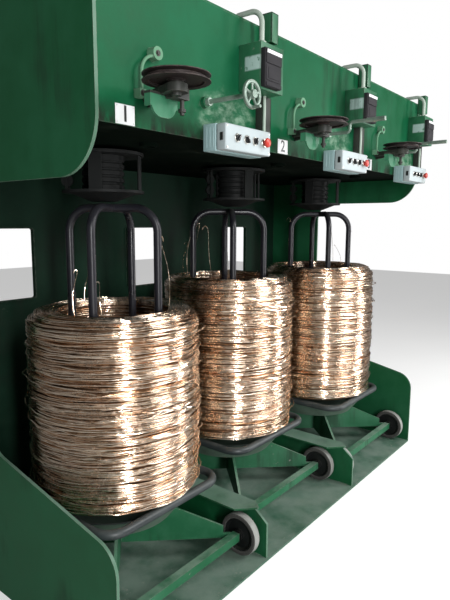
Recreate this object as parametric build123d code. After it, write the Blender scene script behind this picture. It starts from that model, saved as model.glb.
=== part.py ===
from build123d import *
import math
import os

# Wire take-up coiler with three stations in one frame, millimetres, +Z up, +X along the row, front at -Y.
# The origin is on the floor, in the middle of the base.

# Row of stations
BAYS = 3
PITCH = 900.0
BASE_DEPTH = 1200.0
END_PLATE = 12.0

# C-shaped end plates
FRAME_HEIGHT = 2342.0
HEAD_SETBACK = 40.0
THROAT_DEPTH = 787.0
THROAT_TOP = 1705.0
THROAT_CORNER = 120.0
HEAD_CORNER = 185.0
NOSE_HEIGHT = 481.0
NOSE_CORNER = 110.0
ARM_RISE = 160.0

# Sheet parts of the frame
FASCIA_BOTTOM = 1861.0
FASCIA_SHEET = 8.0
BELLY_SHEET = 8.0
ROOF_SHEET = 6.0
FLOOR_SHEET = 10.0
WALL_SHEET = 6.0

# Windows in the rear wall, one to a bay
WINDOW_WIDTH = 270.0
WINDOW_HEIGHT = 350.0
WINDOW_SILL = 1178.0
WINDOW_OFFSET = 216.0
WINDOW_CORNER = 12.0
WINDOW_RIM = 18.0

# Dividers between bays, with the rail that covers the wheels
DIVIDER_SHEET = 12.0
DIVIDER_TOP = 235.0
DIVIDER_FRONT = 178.0
DIVIDER_SETBACK = 10.0
DIVIDER_NOSE = 72.0
RAIL_SHEET = 8.0
RAIL_NEAR = 85.0
RAIL_FAR = 40.0
RAIL_SETBACK = 63.0
RAIL_NEAR_CUT = 75.0
RAIL_FAR_CUT = 47.0

# Coiling heads
HEAD_AXIS_AHEAD = 30.0
SPINDLE_R = 30.0
SPINDLE_CLEARANCE = 0.4
BEARING_R = 78.0
BEARING_HEIGHT = 40.0
COLLAR_R = 48.0
COLLAR_HEIGHT = 14.0
CAGE_R = 170.0
CAGE_GAP = 14.0
CAGE_TOP_SHEET = 12.0
CAGE_PLATE = 10.0
CAGE_PLATE_BOTTOM = 1682.0
POST_WIDTH = 52.0
POST_THICKNESS = 9.0
POST_R = 152.0
ROD_R = 6.0
ROD_SPREAD = 17.0
DRUM_R = 88.0
DRUM_GROOVES = 4
DRUM_GROOVE = 7.0
ROLLER_R = 24.0
ROLLER_WIDTH = 16.0
ROLLER_RISE = 29.0
CONE_TOP_R = 140.0
CONE_BOTTOM_R = 52.0
CONE_BOTTOM = 1648.0
CAGE_TURNS = (-51.0, -20.0, -75.0)

# Wire inlet collars under the head
EYE_R = 36.0
EYE_BORE = 24.0
EYE_DROP = 14.0
EYE_DEPTH = 270.0
EYE_OFFSET = 430.0

# Sheaves on the fascia
SHEAVE_OFFSET = 167.0
SHEAVE_REACH = 170.0
SHEAVE_HEIGHT = 1984.5
SHEAVE_R = 103.0
SHEAVE_WIDTH = 21.0
SHEAVE_FLANGE = 5.0
SHEAVE_GROOVE = 15.0
SHEAVE_WEB = 9.0
SHEAVE_HUB_R = 28.0
PIN_R = 10.0
PIN_CLEARANCE = 0.3
NUT_R = 15.0
NUT_HEIGHT = 9.0

# Sheave brackets: arm with a round end, apron with side returns, and a lug with a hanging bolt
ARM_FASCIA_LEFT = 190.0
ARM_FASCIA_RIGHT = 240.0
ARM_DEPTH = 24.0
ARM_SEAT = 6.0
ARM_SEAT_R = 24.0
BOSS_R = 34.0
RIB_SHEET = 12.0
RIB_DROP = 14.0
RIB_REACH = 100.0
APRON_REACH = 118.0
APRON_WIDTH = 116.0
APRON_FOOT_WIDTH = 94.0
APRON_RISE = 6.0
APRON_DROP = 66.0
APRON_SHEET = 8.0
APRON_CORNER = 42.0
RETURN_DEPTH = 26.0
RETURN_DROP = 36.0
LUG_RIGHT = 234.0
LUG_NEAR = 126.0
LUG_FAR = 160.0
LUG_DROP = 10.0
BOLT_OFFSET = 219.0
BOLT_R = 7.0
BOLT_LENGTH = 44.0
BOLT_NUT_R = 12.0

# Wire guides on the fascia
GUIDE_ROD_R = 5.5
GUIDE_HEIGHT = 2085.0
GUIDE_BEND = 58.0
GUIDE_REACH = 22.0
GUIDE_FOOT = 165.0
GUIDE_FOOT_TOP = 1976.0
GUIDE_FOOT_SECTION = 26.0
GUIDE_LUG_OFFSET = 230.0
GUIDE_LUG_RISE = 10.0
GUIDE_LUG_R = 21.0
GUIDE_LUG_COVER = 9.0

# Adjusting shafts, with a handwheel at the first station and cranks at the others
SHAFT_OFFSET = 485.0
SHAFT_HEIGHT = 1990.0
SHAFT_R = 8.0
SHAFT_REACH = 215.0
SHAFT_CLEARANCE = 0.3
SHAFT_BOSS_R = 20.0
SHAFT_BOSS_LENGTH = 18.0
SHAFT_COLLAR_R = 14.0
WHEEL_RIM_R = 42.0
WHEEL_RIM = 12.0
WHEEL_RIM_CORNER = 3.6
WHEEL_SPOKES = 5
WHEEL_SPOKE_R = 4.5
WHEEL_KNOB = 36.0
WHEEL_KNOB_R = 5.2
CRANK_REACH = 135.0
CRANK_ARM = 45.0
CRANK_GRIP = 170.0
CRANK_GRIP_R = 10.5
CRANK_BEND = 16.0
CRANK_CAP = 4.0

# Control boxes, isolators and their post
BOX_OFFSET = 481.0
BOX_WIDTH = 286.0
BOX_BOTTOM = 1818.0
BOX_HEIGHT = 96.0
BOX_DEPTH = 104.0
BOX_LID = 42.0
BOX_LID_INSET = 2.0
KNOB_OFFSETS = (70.0, 127.0, 180.0)
KNOB_R = 14.0
KNOB_LENGTH = 15.0
STOP_OFFSET = 238.0
STOP_R = 18.0
STOP_STEM_R = 11.0
STOP_HEAD = 13.0
STOP_LENGTH = 27.0
ISOLATOR_OFFSET = 692.0
ISOLATOR_WIDTH = 154.0
ISOLATOR_BOTTOM = 2064.0
ISOLATOR_HEIGHT = 172.0
ISOLATOR_DEPTH = 104.0
CASE_WIDTH = 110.0
CASE_FOOT = 7.0
CASE_HEIGHT = 139.0
CASE_DEPTH = 26.0
POST_GAP = 2.0
POST_OFFSET = 807.0
POST_SECTION = 58.0
POST_DEPTH = 36.0
CABLE_R = 6.5
CABLE_OFFSET = 811.0
CABLE_REACH = 40.0
STRUT_OFFSET = 840.0
STRUT_WIDTH = 48.0
STRUT_GAP = 41.0
STRUT_LENGTH = 113.0
STRUT_DEPTH = 50.0
STRUT_SHEET = 6.0
STRUT_BACK = 20.0
CONDUIT_R = 10.0
CONDUIT_OFFSET = 730.0
CONDUIT_REACH = 80.0
CONDUIT_CREST = 2360.0
CONDUIT_BEND = 50.0
CONDUIT_BACK = 45.0
CONDUIT_FAR_BEND = 16.0
CONDUIT_NUT_R = 18.0

# Carriages, which roll out to the front
CARRIAGE_OFFSETS = (-51.0, 34.0, -48.0)
AXLE_ROOM = 110.0
WHEEL_SIDE_GAP = 18.0
WHEEL_R = 100.0
WHEEL_WIDTH = 40.0
WHEEL_GAP = 0.3
TYRE_DEPTH = 22.0
TYRE_CROWN = 5.0
HUB_R = 25.0
AXLE_R = 12.5
AXLE_CLEARANCE = 0.5
AXLE_CAP = 12.0
BEAM_SECTION = 38.0
BEAM_END_GAP = 12.0
ARM_SHEET = 12.0
ARM_TOP = 288.0
ARM_BOTTOM = 108.0
ARM_SHOULDER = 204.0
TAB_LENGTH = 34.0
ARM_TAPER_TOP = 166.0
TAB_TOP = 130.0
TAB_BOTTOM = 88.0

# Carrier: square tube ring with round corners, round dish below, and a cross of flat bars
RING_HALF = 326.0
RING_CORNER = 90.0
RING_TUBE = 19.0
RING_HEIGHT = 400.0
DISH_R = 332.0
DISH_RIM = 391.0
DISH_FLOOR_R = 250.0
DISH_FLOOR = 288.3
DISH_SHEET = 5.0
SPOKE_WIDTH = 60.0
SPOKE_SHEET = 10.0

# Stems: two bent tube hoops that cross at the top, on a flat foot ring
STEM_R = 200.0
STEM_TUBE = 17.0
STEM_TOP = 1621.0
STEM_BEND = 100.0
STEM_FOOT_WIDTH = 44.0
STEM_FOOT_SHEET = 8.0
STEM_TURNS = (26.0, 45.0, 45.0)

# Wire coils
COIL_R = 360.0
COIL_BORE_R = 230.0
COIL_TOPS = (1200.0, 1270.0, 1280.0)
COIL_SHOULDER = 45.0
COIL_HEEL = 14.0
SEAT_GAP = 0.3

LENGTH = BAYS * PITCH
FRONT = -BASE_DEPTH / 2
REAR = BASE_DEPTH / 2
LEFT = -LENGTH / 2
INNER_LEFT = LEFT + END_PLATE
HEAD_FRONT = FRONT + HEAD_SETBACK
COLUMN_FRONT = FRONT + THROAT_DEPTH
WALL_FRONT = REAR - WALL_SHEET
HEAD_AXIS = -HEAD_AXIS_AHEAD
ROOF_UNDER = FRAME_HEIGHT - ROOF_SHEET
BELLY_TOP = FASCIA_BOTTOM + BELLY_SHEET
SEAT_TOP = RING_HEIGHT + RING_TUBE
AXLE_HEIGHT = FLOOR_SHEET + WHEEL_GAP + WHEEL_R
AXLE_REACH = BASE_DEPTH / 2 - WHEEL_R - AXLE_ROOM
WHEEL_OUTSIDE = PITCH / 2 - END_PLATE - WHEEL_SIDE_GAP
HALF_TRACK = WHEEL_OUTSIDE - WHEEL_WIDTH / 2
BEAM_HALF = WHEEL_OUTSIDE - WHEEL_WIDTH - BEAM_END_GAP


def bay_left(bay):
    """X of the left side of a bay, counted from 0."""
    return LEFT + bay * PITCH


def bay_centre(bay):
    """X of the middle of a bay."""
    return bay_left(bay) + PITCH / 2


def carriage_centre(bay):
    """X and Y of the middle of a carriage at rest."""
    return bay_centre(bay), HEAD_AXIS + CARRIAGE_OFFSETS[bay]


def block(x0, x1, y0, y1, z0, z1):
    """A box between two corners."""
    middle = ((x0 + x1) / 2, (y0 + y1) / 2, (z0 + z1) / 2)
    return Pos(*middle) * Box(x1 - x0, y1 - y0, z1 - z0)


def upright(x, y, z0, z1, radius):
    """A vertical cylinder."""
    return Pos(x, y, (z0 + z1) / 2) * Cylinder(radius, z1 - z0)


def along_x(x0, x1, y, z, radius):
    """A cylinder along X."""
    return Pos((x0 + x1) / 2, y, z) * Rot(0, 90, 0) * Cylinder(radius, x1 - x0)


def along_y(x, y0, y1, z, radius):
    """A cylinder along Y."""
    return Pos(x, (y0 + y1) / 2, z) * Rot(90, 0, 0) * Cylinder(radius, y1 - y0)


def side_plate(points, radii, x, thickness):
    """A plate standing along Y, from an outline of (y, z) corners with their radii."""
    outline = make_face(FilletPolyline(*points, radius=list(radii), close=True))
    return extrude(Plane.YZ.offset(x) * outline, amount=thickness)


def turned(points):
    """A solid of revolution about Z, from (radius, z) corners."""
    return revolve(Plane.XZ * make_face(Polyline(*points, close=True)), Axis.Z)


def end_plate(x):
    """C-shaped end plate: base arm with a round nose, column, and head arm with a round lower corner."""
    corners = (
        ((REAR, 0), 0),
        ((FRONT, 0), 0),
        ((FRONT, NOSE_HEIGHT), NOSE_CORNER),
        ((COLUMN_FRONT, NOSE_HEIGHT + ARM_RISE), THROAT_CORNER),
        ((COLUMN_FRONT, THROAT_TOP), THROAT_CORNER),
        ((HEAD_FRONT, THROAT_TOP), HEAD_CORNER),
        ((HEAD_FRONT, FRAME_HEIGHT), 0),
        ((REAR, FRAME_HEIGHT), 0),
    )
    return side_plate([c[0] for c in corners], [c[1] for c in corners], x, END_PLATE)


def rear_wall():
    """Wall behind the coils, with one rimmed window to a bay."""
    wall = block(
        INNER_LEFT, -INNER_LEFT, WALL_FRONT, WALL_FRONT + WALL_SHEET, FLOOR_SHEET, ROOF_UNDER
    )
    for bay in range(BAYS):
        x = bay_left(bay) + WINDOW_OFFSET + WINDOW_WIDTH / 2
        z = WINDOW_SILL + WINDOW_HEIGHT / 2
        face = Plane.XZ.offset(-REAR) * Pos(x, z)
        rim = RectangleRounded(
            WINDOW_WIDTH + 2 * WALL_SHEET, WINDOW_HEIGHT + 2 * WALL_SHEET, WINDOW_CORNER + WALL_SHEET
        )
        hole = RectangleRounded(WINDOW_WIDTH, WINDOW_HEIGHT, WINDOW_CORNER)
        wall += extrude(face * rim, amount=WALL_SHEET + WINDOW_RIM)
        wall -= extrude(face * hole, amount=2 * WALL_SHEET + WINDOW_RIM)
    return wall


def front_fascia():
    """Front sheet of the head, with a boss for each adjusting shaft and a guide for each wire."""
    sheet = block(
        INNER_LEFT, -INNER_LEFT, HEAD_FRONT, HEAD_FRONT + FASCIA_SHEET, FASCIA_BOTTOM, ROOF_UNDER
    )
    for bay in range(BAYS):
        x = bay_left(bay) + SHAFT_OFFSET
        sheet += along_y(x, HEAD_FRONT - SHAFT_BOSS_LENGTH, HEAD_FRONT, SHAFT_HEIGHT, SHAFT_BOSS_R)
        sheet -= along_y(
            x,
            HEAD_FRONT - 2 * SHAFT_BOSS_LENGTH,
            HEAD_FRONT + 2 * FASCIA_SHEET,
            SHAFT_HEIGHT,
            SHAFT_R + SHAFT_CLEARANCE,
        )
        sheet += wire_guide(bay)
    return sheet


def head_roof():
    """Top sheet of the head, between the end plates."""
    return block(INNER_LEFT, -INNER_LEFT, HEAD_FRONT, REAR, ROOF_UNDER, FRAME_HEIGHT)


def head_belly():
    """Bottom sheet of the head, with a spindle bearing and a wire inlet collar to each bay."""
    belly = block(
        INNER_LEFT, -INNER_LEFT, HEAD_FRONT + FASCIA_SHEET, WALL_FRONT, FASCIA_BOTTOM, BELLY_TOP
    )
    for bay in range(BAYS):
        x = bay_centre(bay)
        belly += upright(x, HEAD_AXIS, BELLY_TOP, BELLY_TOP + BEARING_HEIGHT, BEARING_R)
        bore = SPINDLE_R + SPINDLE_CLEARANCE
        belly -= upright(x, HEAD_AXIS, FASCIA_BOTTOM - 1, BELLY_TOP + BEARING_HEIGHT + 1, bore)
        eye_x, eye_y = bay_left(bay) + EYE_OFFSET, FRONT + EYE_DEPTH
        belly += upright(eye_x, eye_y, FASCIA_BOTTOM - EYE_DROP, FASCIA_BOTTOM, EYE_R)
        belly -= upright(eye_x, eye_y, FASCIA_BOTTOM - EYE_DROP - 1, BELLY_TOP + 1, EYE_BORE)
    return belly


def floor_plate():
    """Plate that the carriages stand on."""
    return block(INNER_LEFT, -INNER_LEFT, FRONT, REAR, 0, FLOOR_SHEET)


def divider(bay):
    """Wall between two bays, with the rail on top that keeps the wheels down."""
    x = bay_left(bay + 1)
    nose = FRONT + DIVIDER_SETBACK
    points = (
        (WALL_FRONT, FLOOR_SHEET),
        (nose, FLOOR_SHEET),
        (nose, DIVIDER_FRONT),
        (nose + DIVIDER_NOSE, DIVIDER_TOP),
        (WALL_FRONT, DIVIDER_TOP),
    )
    wall = side_plate(points, (0,) * len(points), x - DIVIDER_SHEET / 2, DIVIDER_SHEET)
    start = FRONT + RAIL_SETBACK
    rail = Polyline(
        (x - RAIL_NEAR, WALL_FRONT),
        (x - RAIL_NEAR, start + RAIL_NEAR_CUT),
        (x - DIVIDER_SHEET / 2, start),
        (x + DIVIDER_SHEET / 2, start),
        (x + RAIL_FAR, start + RAIL_FAR_CUT),
        (x + RAIL_FAR, WALL_FRONT),
        close=True,
    )
    return wall + extrude(Plane.XY.offset(DIVIDER_TOP) * make_face(rail), amount=RAIL_SHEET)


def coiling_head(bay):
    """Hanging cage with its spindle, grooved drum, posts, rods, guide rollers and lower cone."""
    cage_top = FASCIA_BOTTOM - CAGE_GAP
    disc_under = cage_top - CAGE_TOP_SHEET
    plate_top = CAGE_PLATE_BOTTOM + CAGE_PLATE
    bearing_top = BELLY_TOP + BEARING_HEIGHT
    collar = bearing_top + SEAT_GAP
    head = upright(0, 0, disc_under, cage_top, CAGE_R)
    head += upright(0, 0, cage_top, collar + COLLAR_HEIGHT, SPINDLE_R)
    head += upright(0, 0, collar, collar + COLLAR_HEIGHT, COLLAR_R)
    head += turned(
        (
            (0, CONE_BOTTOM),
            (CONE_BOTTOM_R, CONE_BOTTOM),
            (CONE_TOP_R, CAGE_PLATE_BOTTOM),
            (CAGE_R, CAGE_PLATE_BOTTOM),
            (CAGE_R, plate_top),
            (0, plate_top),
        )
    )
    head += upright(0, 0, plate_top, disc_under, DRUM_R)
    drum_height = disc_under - plate_top
    for groove in range(DRUM_GROOVES):
        z = plate_top + drum_height * (groove + 1) / (DRUM_GROOVES + 1)
        head -= Pos(0, 0, z) * Torus(DRUM_R, DRUM_GROOVE)
    for side in (-1, 1):
        y = side * (POST_R - POST_THICKNESS / 2)
        head += block(
            -POST_WIDTH / 2,
            POST_WIDTH / 2,
            y - POST_THICKNESS / 2,
            y + POST_THICKNESS / 2,
            plate_top,
            disc_under,
        )
    for side in (-1, 1):
        head += upright(POST_R, side * ROD_SPREAD, plate_top, disc_under, ROD_R)
        middle = (plate_top + disc_under) / 2 + side * ROLLER_RISE
        head += along_y(-POST_R, -ROLLER_WIDTH / 2, ROLLER_WIDTH / 2, middle, ROLLER_R)
        head += along_y(-POST_R, -ROLLER_WIDTH, ROLLER_WIDTH, middle, ROD_R)
        post_x = -POST_R
        head += block(
            post_x - ROD_R,
            post_x + ROD_R,
            side * ROLLER_WIDTH - ROD_R / 2,
            side * ROLLER_WIDTH + ROD_R / 2,
            plate_top,
            disc_under,
        )
    return Pos(bay_centre(bay), HEAD_AXIS, 0) * Rot(0, 0, CAGE_TURNS[bay]) * head


def sheave_place(bay):
    """X and Y of a sheave's pin."""
    return bay_left(bay) + SHEAVE_OFFSET, HEAD_FRONT - SHEAVE_REACH


def sheave(bay):
    """Grooved wire sheave that turns on an upright pin."""
    x, y = sheave_place(bay)
    half = SHEAVE_WIDTH / 2
    root = SHEAVE_R - SHEAVE_GROOVE
    rim = root - SHEAVE_FLANGE
    profile = (
        (PIN_R + PIN_CLEARANCE, -half),
        (SHEAVE_HUB_R, -half),
        (SHEAVE_HUB_R, -SHEAVE_WEB / 2),
        (rim, -SHEAVE_WEB / 2),
        (rim, -half),
        (SHEAVE_R, -half),
        (SHEAVE_R, -half + SHEAVE_FLANGE / 2),
        (root, -SHEAVE_FLANGE / 2),
        (root, SHEAVE_FLANGE / 2),
        (SHEAVE_R, half - SHEAVE_FLANGE / 2),
        (SHEAVE_R, half),
        (rim, half),
        (rim, SHEAVE_WEB / 2),
        (SHEAVE_HUB_R, SHEAVE_WEB / 2),
        (SHEAVE_HUB_R, half),
        (PIN_R + PIN_CLEARANCE, half),
    )
    return Pos(x, y, SHEAVE_HEIGHT) * turned(profile)


def sheave_bracket(bay):
    """Bracket on the fascia: an arm with the pin at its round end, an apron in front, and a lug with a bolt."""
    x, y = sheave_place(bay)
    left = bay_left(bay)
    seat = SHEAVE_HEIGHT - SHEAVE_WIDTH / 2 - SEAT_GAP
    arm_top = seat - ARM_SEAT
    arm_under = arm_top - ARM_DEPTH
    arm = Polyline(
        (left + ARM_FASCIA_LEFT, HEAD_FRONT),
        (left + ARM_FASCIA_RIGHT, HEAD_FRONT),
        (x + BOSS_R, y),
        (x - BOSS_R, y),
        close=True,
    )
    bracket = extrude(Plane.XY.offset(arm_under) * make_face(arm), amount=ARM_DEPTH)
    bracket += upright(x, y, arm_under, arm_top, BOSS_R)
    rib = ((HEAD_FRONT, arm_top), (HEAD_FRONT, arm_under - RIB_DROP), (HEAD_FRONT - RIB_REACH, arm_under))
    rib_x = left + (ARM_FASCIA_LEFT + ARM_FASCIA_RIGHT - RIB_SHEET) / 2
    bracket += side_plate(rib, (0,) * len(rib), rib_x, RIB_SHEET)
    bracket += apron(x, arm_under)
    lug_x = (x, left + LUG_RIGHT)
    bracket += block(*lug_x, HEAD_FRONT - LUG_FAR, HEAD_FRONT - LUG_NEAR, arm_under - LUG_DROP, arm_top)
    bolt = left + BOLT_OFFSET, HEAD_FRONT - (LUG_NEAR + LUG_FAR) / 2
    bolt_end = arm_under - LUG_DROP - BOLT_LENGTH
    bracket += upright(*bolt, bolt_end, arm_under, BOLT_R)
    bracket += upright(*bolt, bolt_end + NUT_HEIGHT, bolt_end + 2 * NUT_HEIGHT, BOLT_NUT_R)
    nut = SHEAVE_HEIGHT + SHEAVE_WIDTH / 2 + SEAT_GAP
    bracket += upright(x, y, arm_under, seat, ARM_SEAT_R)
    bracket += upright(x, y, arm_under, nut + NUT_HEIGHT, PIN_R)
    bracket += upright(x, y, nut, nut + NUT_HEIGHT, NUT_R)
    bracket += upright(x, y, arm_under - NUT_HEIGHT, arm_under, NUT_R)
    return bracket


def apron(x, arm_under):
    """Round-bottomed cover that hangs from the arm, with a return at each side."""
    front = HEAD_FRONT - APRON_REACH
    rear = front + APRON_SHEET
    top, bottom = arm_under + APRON_RISE, arm_under - APRON_DROP
    half, foot = APRON_WIDTH / 2, APRON_FOOT_WIDTH / 2
    outline = FilletPolyline(
        (x - half, top),
        (x - foot, bottom),
        (x + foot, bottom),
        (x + half, top),
        radius=[0, APRON_CORNER, APRON_CORNER, 0],
        close=True,
    )
    cover = extrude(Plane.XZ.offset(-rear) * make_face(outline), amount=APRON_SHEET)
    for side in (x - half, x + half - APRON_SHEET):
        cover += block(side, side + APRON_SHEET, front, front + RETURN_DEPTH, arm_under - RETURN_DROP, top)
    return cover


def wire_guide(bay):
    """Bent rod that guides the wire down to the sheave, from its lug to its foot on the fascia."""
    lug_x = bay_left(bay) + GUIDE_LUG_OFFSET
    foot_x = bay_left(bay) + GUIDE_FOOT
    rod_y = HEAD_FRONT - GUIDE_REACH
    half = GUIDE_FOOT_SECTION / 2
    middle = GUIDE_FOOT_TOP - half
    path = FilletPolyline(
        (lug_x, rod_y, GUIDE_HEIGHT), (foot_x, rod_y, GUIDE_HEIGHT), (foot_x, rod_y, middle), radius=GUIDE_BEND
    )
    guide = sweep(Plane(path @ 0, z_dir=path % 0) * Circle(GUIDE_ROD_R), path)
    guide += along_y(lug_x, rod_y - GUIDE_LUG_COVER, HEAD_FRONT, GUIDE_HEIGHT + GUIDE_LUG_RISE, GUIDE_LUG_R)
    foot = block(foot_x - half, foot_x + half, rod_y - half / 2, HEAD_FRONT, middle - half, GUIDE_FOOT_TOP)
    return guide + foot


def adjusting_shaft(bay):
    """Shaft that turns in the fascia's boss, with a handwheel at the first station and a crank at the others."""
    x, z = bay_left(bay) + SHAFT_OFFSET, SHAFT_HEIGHT
    boss_front = HEAD_FRONT - SHAFT_BOSS_LENGTH
    inside = HEAD_FRONT + FASCIA_SHEET + SEAT_GAP + SHAFT_COLLAR_R
    if bay == 0:
        end = HEAD_FRONT - SHAFT_REACH
        shaft = along_y(x, end, inside, z, SHAFT_R)
        rim = Pos(WHEEL_RIM_R, 0) * RectangleRounded(WHEEL_RIM, WHEEL_RIM, WHEEL_RIM_CORNER)
        wheel = Rot(90, 0, 0) * revolve(Plane.XZ * rim, Axis.Z)
        for spoke in range(WHEEL_SPOKES):
            wheel += Rot(0, spoke * 360 / WHEEL_SPOKES, 0) * upright(0, 0, 0, WHEEL_RIM_R, WHEEL_SPOKE_R)
        wheel += along_y(0, -SHAFT_COLLAR_R, SHAFT_COLLAR_R, 0, SHAFT_COLLAR_R)
        shaft += Pos(x, end, z) * wheel
        shaft += along_y(x, end - WHEEL_KNOB, end, z - WHEEL_RIM_R, WHEEL_KNOB_R)
    else:
        end = HEAD_FRONT - CRANK_REACH
        top = z + CRANK_ARM
        grip = end - CRANK_GRIP
        path = FilletPolyline(
            (x, inside, z), (x, end, z), (x, end, top), (x, grip, top), radius=CRANK_BEND
        )
        shaft = sweep(Plane(path @ 0, z_dir=path % 0) * Circle(SHAFT_R), path)
        shaft += along_y(x, grip - CRANK_CAP, grip + CRANK_GRIP / 2, top, CRANK_GRIP_R)
    shaft += along_y(x, inside - SHAFT_COLLAR_R, inside, z, SHAFT_COLLAR_R)
    shaft += along_y(x, boss_front - SEAT_GAP - SHAFT_COLLAR_R, boss_front - SEAT_GAP, z, SHAFT_COLLAR_R)
    return shaft


def control_box(bay):
    """Push-button box on the fascia, with its lid, three knobs and the stop button."""
    x0 = bay_left(bay) + BOX_OFFSET
    x1 = x0 + BOX_WIDTH
    front = HEAD_FRONT - BOX_DEPTH
    z1 = BOX_BOTTOM + BOX_HEIGHT
    seam = front + BOX_LID
    inset = BOX_LID_INSET
    box = block(x0, x1, seam, HEAD_FRONT, BOX_BOTTOM, z1)
    box += block(x0 + inset, x1 - inset, front, seam, BOX_BOTTOM + inset, z1 - inset)
    middle = BOX_BOTTOM + BOX_HEIGHT / 2
    for offset in KNOB_OFFSETS:
        box += along_y(x0 + offset, front - KNOB_LENGTH, front, middle, KNOB_R)
    stop_x = x0 + STOP_OFFSET
    stop_front = front - STOP_LENGTH
    box += along_y(stop_x, stop_front, front, middle, STOP_STEM_R)
    box += along_y(stop_x, stop_front, stop_front + STOP_HEAD, middle, STOP_R)
    return box


def isolator(bay):
    """Isolator box with the case on its front, its conduit, and the post, cable and strut beside it."""
    left = bay_left(bay)
    x0 = left + ISOLATOR_OFFSET
    x1 = x0 + ISOLATOR_WIDTH
    front = HEAD_FRONT - ISOLATOR_DEPTH
    z0, z1 = ISOLATOR_BOTTOM, ISOLATOR_BOTTOM + ISOLATOR_HEIGHT
    case_z = z0 + CASE_FOOT
    box = block(x0, x1, front, HEAD_FRONT, z0, z1)
    box += block(x0, x0 + CASE_WIDTH, front - CASE_DEPTH, front, case_z, case_z + CASE_HEIGHT)
    return box + post_and_cable(left) + strut(left, z1) + roof_conduit(left, z1)


def post_and_cable(left):
    """Post between a control box and its isolator, with the cable in front of it."""
    foot = BOX_BOTTOM + BOX_HEIGHT + POST_GAP
    x0 = left + POST_OFFSET
    post = block(x0, x0 + POST_SECTION, HEAD_FRONT - POST_DEPTH, HEAD_FRONT, foot, ISOLATOR_BOTTOM)
    cable = upright(left + CABLE_OFFSET, HEAD_FRONT - CABLE_REACH, foot, ISOLATOR_BOTTOM, CABLE_R)
    return post + cable


def strut(left, box_top):
    """Folded channel that rises past the roof's edge, on a back strip from the isolator box."""
    x0 = left + STRUT_OFFSET
    x1 = x0 + STRUT_WIDTH
    front = HEAD_FRONT - STRUT_DEPTH
    bottom = box_top + STRUT_GAP
    top = bottom + STRUT_LENGTH
    sheet = STRUT_SHEET
    channel = block(x0, x1, HEAD_FRONT - sheet, HEAD_FRONT, box_top - sheet, top)
    channel += block(x0, x1, front, front + sheet, bottom, top)
    for side in (x0, x1 - sheet):
        channel += block(side, side + sheet, front, HEAD_FRONT, bottom, top)
    return channel + block(x0, x1, front, HEAD_FRONT + STRUT_BACK, top - sheet, top)


def roof_conduit(left, box_top):
    """Conduit that rises from the isolator box and bends back over the roof's edge."""
    x = left + CONDUIT_OFFSET
    near = HEAD_FRONT - CONDUIT_REACH
    far = HEAD_FRONT + CONDUIT_BACK
    path = FilletPolyline(
        (x, near, box_top - CONDUIT_R),
        (x, near, CONDUIT_CREST),
        (x, far, CONDUIT_CREST),
        (x, far, FRAME_HEIGHT),
        radius=[CONDUIT_BEND, CONDUIT_FAR_BEND],
    )
    pipe = sweep(Plane(path @ 0, z_dir=path % 0) * Circle(CONDUIT_R), path)
    return pipe + upright(x, near, box_top, box_top + NUT_HEIGHT, CONDUIT_NUT_R)


def carriage_frame(bay):
    """Two crossed deep plates under the dish, on two hollow axle beams."""
    half = BEAM_SECTION / 2
    corner = math.degrees(math.atan2(AXLE_REACH, BEAM_HALF))
    reach = math.hypot(AXLE_REACH - half, BEAM_HALF - half)
    taper = reach - TAB_LENGTH
    side = (
        (ARM_SHOULDER, ARM_TOP),
        (taper, ARM_TAPER_TOP),
        (taper, TAB_TOP),
        (reach, TAB_TOP),
        (reach, TAB_BOTTOM),
        (taper, TAB_BOTTOM),
        (taper, ARM_BOTTOM),
    )
    mirrored = tuple((-t, z) for t, z in reversed(side))
    outline = make_face(Polyline(*side, *mirrored, close=True))
    arm = extrude(Plane.XZ * outline, amount=ARM_SHEET / 2, both=True)
    frame = Rot(0, 0, corner) * arm + Rot(0, 0, -corner) * arm
    for y in (-AXLE_REACH, AXLE_REACH):
        frame += block(-BEAM_HALF, BEAM_HALF, y - half, y + half, AXLE_HEIGHT - half, AXLE_HEIGHT + half)
    for y in (-AXLE_REACH, AXLE_REACH):
        frame -= along_x(-BEAM_HALF - 1, BEAM_HALF + 1, y, AXLE_HEIGHT, AXLE_R + AXLE_CLEARANCE)
    return Pos(*carriage_centre(bay), 0) * frame


def wheel_pair(bay, side):
    """Two wheels on one axle that turns in a hollow beam. Side is -1 at the front and 1 at the rear."""
    half = WHEEL_WIDTH / 2
    rim = WHEEL_R - TYRE_DEPTH
    crown = TYRE_CROWN
    profile = (
        (0, -half - BEAM_END_GAP / 2),
        (HUB_R, -half - BEAM_END_GAP / 2),
        (HUB_R, -half / 2),
        (rim - crown, -half / 3),
        (rim, -half),
        (WHEEL_R - crown, -half),
        (WHEEL_R, crown - half),
        (WHEEL_R, half - crown),
        (WHEEL_R - crown, half),
        (rim, half),
        (rim - crown, half / 3),
        (HUB_R, half / 2),
        (HUB_R, half + BEAM_END_GAP / 2),
        (0, half + BEAM_END_GAP / 2),
    )
    wheel = Rot(0, 90, 0) * turned(profile)
    axle_end = WHEEL_OUTSIDE + AXLE_CAP
    pair = along_x(-axle_end, axle_end, 0, 0, AXLE_R)
    pair += Pos(-HALF_TRACK, 0, 0) * wheel
    pair += Pos(HALF_TRACK, 0, 0) * wheel
    x, y = carriage_centre(bay)
    return Pos(x, y + side * AXLE_REACH, AXLE_HEIGHT) * pair


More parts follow.
